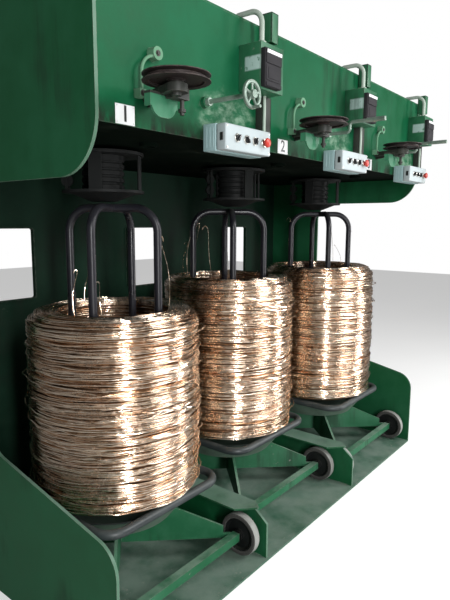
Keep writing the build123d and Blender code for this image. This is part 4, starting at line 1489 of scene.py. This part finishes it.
@dataclass
class ControlBox(Assembly):
    """Push-button box of one station: case, pale lid, screws, knobs and stop button."""

    NODE = "control_box_{}"
    lid: float = 0.042
    inset: float = 0.002
    rib_count: int = 3
    rib_pitch: float = 0.015
    rib_width: float = 0.004
    rib_out: float = 0.0012
    rib_margin: float = 0.012
    latch_half: float = 0.014
    stop_length: float = 0.027
    knob_length: float = 0.015
    knob_radius: float = 0.014
    knob_offsets: tuple[float, ...] = (0.070, 0.127, 0.180)
    knob_turns: tuple[float, ...] = (-38.0, 24.0, -16.0)
    stop_offset: float = 0.238
    stop_radius: float = 0.018
    screw_margin: float = 0.011

    def __post_init__(self) -> None:
        """Finds Y of the lid's front."""
        super().__post_init__()
        self.face = self.extent.low.y + self.stop_length

    def build(self) -> None:
        """Builds the box and hides its CAD node."""
        self.shell()
        self.knobs()
        self.stop()
        self.show()

    def out_of_lid(self, offset: float, height: float) -> Matrix:
        """Gives the place of something that stands out of the lid, at an offset from the box's left side."""
        place = Matrix.Translation((self.extent.low.x + offset, self.face, height))
        return place @ Matrix.Rotation(math.radians(90), 4, "X")

    def shell(self) -> None:
        """Makes the case with its side ribs, the seal, the lid, its screws and its latch."""
        low, high, level = self.extent.low, self.extent.high, self.extent.middle.z
        face, seam, margin = self.face, self.face + self.lid, self.rib_margin
        gap = Vector((self.inset, 0.0, self.inset))
        case = self.part("box_case", Finish.BOX_GREY)
        case.slab((low.x, seam + 0.0015, low.z), high, 0.004, 3)
        for rib in range(self.rib_count):
            start = seam + margin + rib * self.rib_pitch
            case.slab(
                (low.x - self.rib_out, start, low.z + margin),
                (low.x + self.rib_width, start + self.rib_width, high.z - margin), 0.001, 1,
            )
        seal = self.part("box_seal", Finish.KNOB_BLACK)
        start, end = Vector((low.x, seam - 0.001, low.z)), Vector((high.x, seam + 0.003, high.z))
        seal.slab(start + gap * 2, end - gap * 2, 0.0004, 1)
        lid = self.part("box_lid", Finish.BOX_WHITE)
        lid.slab(Vector((low.x, face, low.z)) + gap, Vector((high.x, seam, high.z)) - gap, 0.005, 3)
        seal.slab(
            (low.x - 0.0005, face + 0.010, level - self.latch_half),
            (low.x + 0.006, face + 0.024, level + self.latch_half), 0.001, 1,
        )
        head = [(0, 0.0016), (0.0034, 0.0012), (0.0042, 0.0), (0.0042, -0.003), (0, -0.003)]
        for offset in (self.screw_margin, self.extent.size.x - self.screw_margin):
            for height in (low.z + self.screw_margin, high.z - self.screw_margin):
                self.part("box_screws", Finish.ZINC).lathe(head, self.out_of_lid(offset, height), 16)

    def knobs(self) -> None:
        """Makes the turning knobs with their rings, grips and pointer lines."""
        reach, length = self.knob_radius, self.knob_length
        wide = reach * 1.15
        ring = [(reach * 0.8, -0.001), (wide, -0.001), (wide, 0.002), (reach, 0.0035), (reach * 0.8, 0.0035)]
        body = [(0, length * 0.55), (reach * 0.86, length * 0.5), (reach * 0.92, 0.001), (0, 0.001)]
        grip = (reach * 0.27, reach * 0.9)
        for offset, turn in zip(self.knob_offsets, self.knob_turns):
            place = self.out_of_lid(offset, self.extent.middle.z)
            turned = place @ Matrix.Rotation(math.radians(turn), 4, "Z")
            self.part("knob_rings", Finish.ZINC).lathe(ring, place, 32)
            grips = self.part("knob_grips", Finish.KNOB_BLACK)
            grips.lathe(body, place, 28)
            grips.slab((-grip[0], -grip[1], length * 0.4), (*grip, length), 0.0016, 2, turned)
            line = (-0.0009, reach * 0.1, length - 0.0006), (0.0009, reach * 0.82, length + 0.0002)
            self.part("knob_lines", Finish.PLATE_WHITE).slab(*line, 0.0002, 1, turned)

    def stop(self) -> None:
        """Makes the stop button with its ring."""
        place = self.out_of_lid(self.stop_offset, self.extent.middle.z)
        reach, length = self.stop_radius, self.stop_length
        neck, rim = reach * 0.6, reach * 0.95
        ring = [(neck, -0.001), (rim, -0.001), (rim, 0.003), (reach * 0.85, 0.005), (neck, 0.005)]
        self.part("stop_ring", Finish.ZINC).lathe(ring, place, 32)
        head = [
            (0, length), (reach * 0.55, length - 0.0008), (reach * 0.88, length - 0.004),
            (reach, length - 0.0085), (rim, length - 0.0125), (reach * 0.64, length - 0.014),
            (neck, 0.002), (0, 0.002),
        ]
        self.part("stop_button", Finish.STOP_RED).lathe(head, place, 36)


@dataclass
class Isolator(Assembly):
    """Isolator of one station: green back box, dark case, post with its cable, strut and pale conduit."""

    NODE = "isolator_{}"
    box_rise: float = 0.148
    box_height: float = 0.172
    box_width: float = 0.154
    box_depth: float = 0.104
    frame_depth: float = 0.005
    case_width: float = 0.110
    case_foot: float = 0.007
    case_height: float = 0.139
    case_depth: float = 0.026
    strip_margin: float = 0.006
    strip_heights: tuple[float, float] = (0.020, 0.007)
    post_offset: float = 0.807
    post_width: float = 0.058
    post_depth: float = 0.036
    post_sheet: float = 0.005
    cable_offset: float = 0.811
    cable_reach: float = 0.040
    cable_radius: float = 0.0065
    cable_steps: int = 12
    strut_gap: float = 0.041
    strut_depth: float = 0.050
    strut_width: float = 0.048
    strut_back: float = 0.020
    strut_sheet: float = 0.006
    conduit: float = 0.010
    conduit_offset: float = 0.730
    conduit_reach: float = 0.080
    conduit_crest: float = 0.018
    conduit_back: float = 0.045
    conduit_bends: tuple[float, float] = (0.050, 0.016)
    nut: float = 0.009

    def __post_init__(self) -> None:
        """Finds the back box's corners."""
        super().__post_init__()
        foot, left, face = self.extent.low.z + self.box_rise, self.extent.low.x, self.row.face
        self.low = Vector((left, face - self.box_depth, foot))
        self.high = Vector((left + self.box_width, face, foot + self.box_height))

    def build(self) -> None:
        """Builds the isolator and hides its CAD node."""
        self.back()
        self.case()
        self.post()
        self.strut()
        self.pipe()
        self.show()

    def back(self) -> None:
        """Makes the back box with the turned edge of its door frame."""
        shape, low, high = self.part("isolator_back", Finish.FRAME_GREEN), self.low, self.high
        shape.slab(low + Vector((0, 0.004, 0)), high, 0.003, 2)
        shape.slab(low, (high.x, low.y + self.frame_depth, high.z), 0.0015, 2)

    def case(self) -> None:
        """Makes the dark case on the box, with its raised slabs and the white strip."""
        left, right, face = self.low.x, self.low.x + self.case_width, self.low.y - self.case_depth
        foot = self.low.z + self.case_foot
        top = foot + self.case_height
        shape = self.part("isolator_case", Finish.DARK_PLASTIC)
        shape.slab((left, face + 0.005, foot), (right, self.low.y + 0.001, top), 0.004, 3)
        slabs = (
            (0.084, self.case_height - 0.004, 0.004, 0.0045, 0.0025),
            (0.022, 0.080, 0.004, 0.0030, 0.0025),
            (0.030, 0.071, 0.016, 0.0050, 0.0015),
            (0.002, 0.017, 0.004, 0.0045, 0.0025),
        )
        for start, end, margin, out, rounding in slabs:
            low = (left + margin, face + 0.005 - out, foot + start)
            shape.slab(low, (right - margin, face + 0.012, foot + end), rounding, 2)
        start, end = self.strip_heights
        low = (left + self.strip_margin, face - 0.0012, top - start)
        high = (right - self.strip_margin, face + 0.004, top - end)
        self.part("isolator_strip", Finish.PLATE_WHITE).slab(low, high, 0.0008, 1)

    def channel(self, shape: Shape, low: Vector, high: Vector, wall: float, rounding: float) -> None:
        """Adds a folded channel that is open at the back, above and below.

        Args:
            shape: The shape to add to.
            low: Lowest corner.
            high: Highest corner.
            wall: Thickness of the sheet.
            rounding: Radius of the edges.
        """
        shape.slab(low, (high.x, low.y + wall, high.z), rounding, 2)
        for x in (low.x, high.x - wall):
            shape.slab((x, low.y, low.z), (x + wall, high.y, high.z), rounding, 2)

    def post(self) -> None:
        """Makes the folded post below the box and the pale cable in front of it."""
        left, face, foot = self.start + self.post_offset, self.row.face, self.extent.low.z
        low = Vector((left, face - self.post_depth, foot))
        high = Vector((left + self.post_width, face, self.low.z))
        self.channel(self.part("post", Finish.DARK_PARTS), low, high, self.post_sheet, 0.0012)
        x, y = self.start + self.cable_offset, face - self.cable_reach
        rise = self.low.z - foot
        heights = [foot + rise * step / self.cable_steps for step in range(self.cable_steps + 1)]
        points = [Vector((x + 0.0006 * math.sin(5 * z * 7), y, z)) for z in heights]
        self.part("post_cable", Finish.CONDUIT).tube(points, self.cable_radius, 16)

    def strut(self) -> None:
        """Makes the folded strut above the box, with its back strip and its top over the roof's edge."""
        right, top, face, wall = self.extent.high.x, self.extent.high.z, self.row.face, self.strut_sheet
        left, front = right - self.strut_width, face - self.strut_depth
        shape = self.part("roof_strut", Finish.FRAME_GREEN)
        shape.slab((left, face - wall, self.high.z - wall), (right, face, top), 0.001, 1)
        low = Vector((left, front, self.high.z + self.strut_gap))
        self.channel(shape, low, Vector((right, face, top)), wall, 0.0018)
        shape.slab((left, front, top - wall), (right, face + self.strut_back, top), 0.0018, 2)

    def pipe(self) -> None:
        """Makes the bent conduit from the box over the roof's edge, with its nuts."""
        x, foot, roof = self.start + self.conduit_offset, self.high.z, self.row.roof
        near, far = self.row.face - self.conduit_reach, self.row.face + self.conduit_back
        crest = roof + self.conduit_crest
        first, second = self.conduit_bends
        points = [Vector((x, near, foot - 0.002)), Vector((x, near, foot + 0.03))]
        for step in range(11):
            c, s = math.cos(math.pi / 2 * step / 10), math.sin(math.pi / 2 * step / 10)
            points.append(Vector((x, near + first * (1 - c), crest - first * (1 - s))))
        for step in range(9):
            c, s = math.cos(math.pi / 2 * step / 8), math.sin(math.pi / 2 * step / 8)
            points.append(Vector((x, far - second * (1 - s), crest - second * (1 - c))))
        points.append(Vector((x, far, roof)))
        shape = self.part("conduit", Finish.CONDUIT)
        shape.tube(points, self.conduit, 20)
        for y, z, out in ((near, foot, self.conduit * 1.7), (far, roof, self.conduit * 1.3)):
            nut = [(0, 0), (out, 0), (out, self.nut - 0.0015), (out * 0.9, self.nut), (0, self.nut)]
            shape.lathe(nut, Matrix.Translation((x, y, z)), 6)


@dataclass
class Studio:
    """Floor, light and the camera at the photograph's viewing angle."""

    eye: Point = (-2.39871, -1.88996, 1.56426)
    yaw: float = 38.65
    pitch: float = 8.2
    roll: float = 0.28
    focal_pixels: float = 540.0
    sensor: float = 36.0
    floor_size: float = 30.0
    ambient: float = 0.15
    lamps: tuple[tuple[str, Point, Point, tuple[float, float], float], ...] = (
        ("key_lamp", (1.6, -4.6, 4.2), (0.2, -0.3, 0.9), (2.2, 2.2), 210.0),
        ("strip_lamp", (-3.3, -4.9, 2.1), (-0.4, -0.2, 0.9), (0.5, 2.8), 235.0),
        ("side_lamp", (3.6, -3.3, 1.8), (0.3, -0.3, 0.8), (0.5, 2.6), 95.0),
    )

    def build(self) -> None:
        """Builds the studio."""
        self.place_camera()
        self.lay_floor()
        self.set_world()
        self.hang_lamps()
        bpy.context.scene.view_settings.view_transform = "Standard"

    def place_camera(self) -> None:
        """Makes the camera from its fitted place and angles."""
        yaw, pitch, roll = (math.radians(a) for a in (self.yaw, self.pitch, self.roll))
        ahead = Vector((math.cos(yaw) * math.cos(pitch), math.sin(yaw) * math.cos(pitch), -math.sin(pitch)))
        level = Vector((math.sin(yaw), -math.cos(yaw), 0.0))
        above = level.cross(ahead)
        right = level * math.cos(roll) + above * math.sin(roll)
        up = above * math.cos(roll) - level * math.sin(roll)
        data = bpy.data.cameras.new("photo_camera")
        data.sensor_fit = "AUTO"
        data.sensor_width = self.sensor
        data.lens = self.focal_pixels / PHOTO_HEIGHT * self.sensor
        data.clip_end = 100.0
        camera = bpy.data.objects.new("photo_camera", data)
        camera.matrix_world = Matrix.Translation(self.eye) @ Matrix((right, up, -ahead)).transposed().to_4x4()
        bpy.context.scene.collection.objects.link(camera)
        bpy.context.scene.camera = camera

    def lay_floor(self) -> None:
        """Makes the pale floor."""
        half = self.floor_size / 2
        corners = [(-half, -half, 0), (half, -half, 0), (half, half, 0), (-half, half, 0)]
        data = bpy.data.meshes.new("studio_floor")
        data.from_pydata(corners, [], [(0, 1, 2, 3)])
        data.materials.append(FloorFinish().material())
        floor = bpy.data.objects.new("studio_floor", data)
        bpy.context.scene.collection.objects.link(floor)

    def set_world(self) -> None:
        """Makes a world that is white to the camera, and low as a light and in reflections."""
        world = bpy.context.scene.world = bpy.data.worlds.new("studio")
        world.use_nodes = True
        world.node_tree.nodes.clear()
        sheet = NodeSheet(world.node_tree)
        path = sheet.add("ShaderNodeLightPath").outputs
        rays = [Signal(sheet, path[name]) for name in ("Is Camera Ray", "Is Transmission Ray")]
        strength = sheet.calculate("MAXIMUM", *rays) * (1.0 - self.ambient) + self.ambient
        light = sheet.make("ShaderNodeBackground", Color=(1.0, 1.0, 1.0, 1.0), Strength=strength)
        sheet.add("ShaderNodeOutputWorld", Surface=light)

    def hang_lamps(self) -> None:
        """Makes a key lamp in front and above, and an upright strip at each side."""
        for name, place, aim, size, power in self.lamps:
            data = bpy.data.lights.new(name, "AREA")
            data.shape = "RECTANGLE"
            data.size, data.size_y = size
            data.energy = power
            lamp = bpy.data.objects.new(name, data)
            lamp.location = place
            lamp.rotation_euler = (Vector(aim) - Vector(place)).to_track_quat("-Z", "Y").to_euler()
            bpy.context.scene.collection.objects.link(lamp)


def recipes(row: Row) -> dict[Finish, object]:
    """Gives the recipe of each finish.

    Args:
        row: Places that the stations share.

    Returns:
        The recipes by finish.
    """
    bays = [row.start(station) for station in STATIONS]

    def zones(low: Point, high: Point, *colour: Colour) -> tuple:
        """Gives a box in each bay, from offsets to the station's start and the fascia's face.

        Args:
            low: Lowest corner.
            high: Highest corner.
            *colour: Colour of the box, if it has one.

        Returns:
            The boxes.
        """
        return tuple(
            (
                (left + low[0], row.face + low[1], low[2]),
                (left + high[0], row.face + high[1], high[2]),
                *colour,
            )
            for left in bays
        )

    # Lighter patches low on each bay's fascia: partly rubbed paint, partly painted sheen.
    rubbed = tuple(((left + 0.62, row.face, 1.955), (0.17, 0.05, 0.095)) for left in bays)
    guides = zones((0.14, -0.05, 1.90), (0.27, -0.002, 2.14), (0.10, 0.22, 0.135))
    aprons = zones((0.09, -0.122, 1.86), (0.25, -0.088, 1.9425), (0.034, 0.155, 0.082))
    scraped = zones((0.688, -0.104, 2.136), (0.6935, -0.030, 2.187))
    return {
        Finish.HEAD_GREEN: Paint(
            "head green paint", (0.003, 0.070, 0.025), (0.008, 0.098, 0.042), bare_spots=rubbed, areas=guides,
            skirt=(row.foot, row.foot + 0.09), chips=0.12, grime=(0.014, 0.018, 0.013), shine=0.07,
            # Colour of the lighter fascia patches: rubbed paint and painted sheen.
            bare_colour=(0.26, 0.38, 0.28),
        ),
        Finish.FRAME_GREEN: Paint(
            "frame green paint", (0.012, 0.095, 0.040), (0.034, 0.145, 0.074), dirt=0.6, chips=0.4,
            scraped=scraped,
            # Faces turned up get a light grey-green: dust, and painted highlight on the tops of the beams.
            bare_colour=(0.47, 0.60, 0.58), dust=0.8, dust_colour=(0.20, 0.29, 0.225),
        ),
        Finish.PLATE_GREEN: Paint(
            "plate green paint", (0.005, 0.072, 0.024), (0.014, 0.098, 0.042), dirt=0.4, chips=0.2, shine=0.2,
            # Faces turned up, such as the dividers' tops, get dust and painted highlight.
            dust=0.75, dust_colour=(0.15, 0.23, 0.185),
            # Lighter rim colour on the plates' edges and tops: painted light.
            rim=(0.085, 0.170, 0.115),
        ),
        Finish.FLOOR_GREEN: Paint(
            "floor plate paint", (0.030, 0.095, 0.058), (0.095, 0.170, 0.125), fading=0.9, dirt=0.4,
            # Faces turned up get dust and painted highlight.
            chips=0.5, dust=0.75,
            dust_colour=(0.17, 0.23, 0.19), rough=0.6,
        ),
        # The rear wall's dark green is darkened further: painted shade for the unlit inside of the machine.
        Finish.WALL_GREEN: Paint(
            "inner green darkened as painted shade", (0.003, 0.015, 0.008), (0.007, 0.026, 0.015), dirt=0.7, rough=0.6, shine=0.1,
        ),
        # The belly's dark green is darkened almost to black: painted shade for the unlit inside of the head.
        Finish.BELLY_GREEN: Paint(
            "belly green darkened as painted shade", (0.0008, 0.0028, 0.0015), (0.002, 0.005, 0.003), dirt=0.7, rough=0.7,
            shine=0.03,
            under=(0.03, 0.035, 0.03), dust=0.0, wear=0.3,
        ),
        Finish.DISH_GREEN: Paint(
            "ring and dish paint", (0.020, 0.026, 0.028), (0.046, 0.055, 0.056), dirt=0.5, chips=0.5,
            dust=0.3,
            areas=(((-2.0, -1.0, 0.2), (2.0, 1.0, 0.3815), (0.080, 0.120, 0.092)),), shine=0.45,
            dust_colour=(0.10, 0.11, 0.10),
        ),
        Finish.BLACK_PAINT: Paint(
            "black paint", (0.006, 0.006, 0.009), (0.016, 0.016, 0.021), rough=0.30, dirt=0.3, chips=0.3,
            under=(0.10, 0.095, 0.095), dust=0.1, shine=0.35,
        ),
        Finish.SOOTY_BLACK: Paint(
            "sooty black", (0.004, 0.005, 0.005), (0.010, 0.011, 0.011), rough=0.55, dirt=0.3, chips=0.25,
            under=(0.07, 0.07, 0.065), dust=0.1, wear=0.4, shine=0.15,
        ),
        Finish.DARK_PARTS: Paint(
            "dark parts", (0.018, 0.021, 0.019), (0.045, 0.048, 0.040), rough=0.5, dirt=0.3, chips=0.45,
            under=(0.13, 0.11, 0.09), areas=aprons,
        ),
        Finish.BOX_GREY: Paint(
            "box grey", (0.27, 0.41, 0.42), (0.32, 0.45, 0.46), grime=(0.10, 0.11, 0.10), dirt=0.3,
            wear=0.3, chips=0.05,
        ),
        Finish.BOX_WHITE: Paint(
            "box lid", (0.35, 0.41, 0.43), (0.42, 0.47, 0.48), grime=(0.24, 0.25, 0.22), dirt=0.35,
            wear=0.2, chips=0.03,
        ),
        Finish.PLATE_WHITE: Plastic("white plate", (0.74, 0.75, 0.76), (0.50, 0.52, 0.48), soiling=0.3),
        Finish.CONDUIT: Paint(
            "pale conduit", (0.30, 0.38, 0.32), (0.42, 0.48, 0.42), grime=(0.12, 0.15, 0.11), dirt=0.4,
            chips=0.2,
        ),
        Finish.WORN_IRON: Metal(
            "worn iron", (0.010, 0.008, 0.008), (0.026, 0.019, 0.018), rust=(0.045, 0.022, 0.014),
            rusting=0.25,
            rough=0.6, metallic=0.15, wear=0.8, worn=(0.20, 0.16, 0.15), shine=0.2,
        ),
        Finish.BRIGHT_STEEL: Metal(
            "rubbed steel", (0.15, 0.21, 0.17), (0.28, 0.35, 0.30), rusting=0.12, rough=0.42, metallic=0.4,
        ),
        Finish.ZINC: Metal("plated steel", (0.48, 0.47, 0.43), (0.62, 0.61, 0.57), rusting=0.15, rough=0.36),
        Finish.WIRE: WoundWire(),
        Finish.WIRE_CORE: WoundWire("wire in shadow", (0.22, 0.13, 0.08), (0.07, 0.038, 0.022), rough=0.4),
        Finish.TYRE: Plastic(
            "grey tyre", (0.30, 0.31, 0.29), (0.12, 0.12, 0.11), rough=0.75, soiling=0.5, bump=0.3,
            sides=(0.050, 0.048, 0.045),
        ),
        Finish.DARK_PLASTIC: Plastic(
            "dark moulding", (0.020, 0.019, 0.022), (0.040, 0.038, 0.040), rough=0.6, shine=0.15,
        ),
        Finish.KNOB_BLACK: Plastic(
            "black knob", (0.012, 0.012, 0.013), (0.06, 0.06, 0.055), rough=0.35, soiling=0.2,
        ),
        Finish.STOP_RED: Plastic(
            "red button", (0.50, 0.035, 0.022), (0.20, 0.03, 0.02), rough=0.35, soiling=0.3,
        ),
    }


def dress_frame(shop: PaintShop) -> None:
    """Gives the CAD nodes that stay their finishes.

    Args:
        shop: The paint shop.
    """
    plan = {
        Finish.PLATE_GREEN: ["left_end_plate", "right_end_plate", "divider_1", "divider_2"],
        Finish.WALL_GREEN: ["rear_wall"],
        Finish.HEAD_GREEN: ["front_fascia", "head_roof"],
        Finish.BELLY_GREEN: ["head_belly"],
        Finish.FLOOR_GREEN: ["floor_plate"],
        Finish.BRIGHT_STEEL: ["handwheel_1", "crank_2", "crank_3"],
        Finish.DARK_PARTS: [f"sheave_bracket_{station}" for station in STATIONS],
        Finish.WORN_IRON: [f"sheave_{station}" for station in STATIONS],
        Finish.SOOTY_BLACK: [f"coiling_head_{station}" for station in STATIONS],
        Finish.FRAME_GREEN: [f"carriage_frame_{station}" for station in STATIONS],
        Finish.DISH_GREEN: [f"carrier_ring_{station}" for station in STATIONS],
        Finish.BLACK_PAINT: [f"stem_{station}" for station in STATIONS],
    }
    for finish, nodes in plan.items():
        for node in nodes:
            shop.dress_node(node, finish)


def main() -> None:
    """Builds the whole scene in order."""
    logging.basicConfig(level=logging.INFO, format="%(message)s")
    row = Row.read()
    shop = PaintShop(recipes(row))
    Studio().build()
    dress_frame(shop)
    winding, fixings, seams = WindingTree(shop), FixingTree(shop), SeamTree(shop)
    FloorSeams(row).build(seams)
    for station in STATIONS:
        shared = (station, row, shop)
        WireCoil(*shared).build(winding)
        for end in ("front", "rear"):
            WheelPair(*shared, end).build()
        ControlBox(*shared).build()
        Isolator(*shared).build()
        plate = NumberPlate(*shared)
        plate.build()
        GuideBolts(*shared).build(fixings)
        plate.rivet(fixings)
        CarriageSeams(*shared).build(seams)


if __name__ == "__main__":
    main()
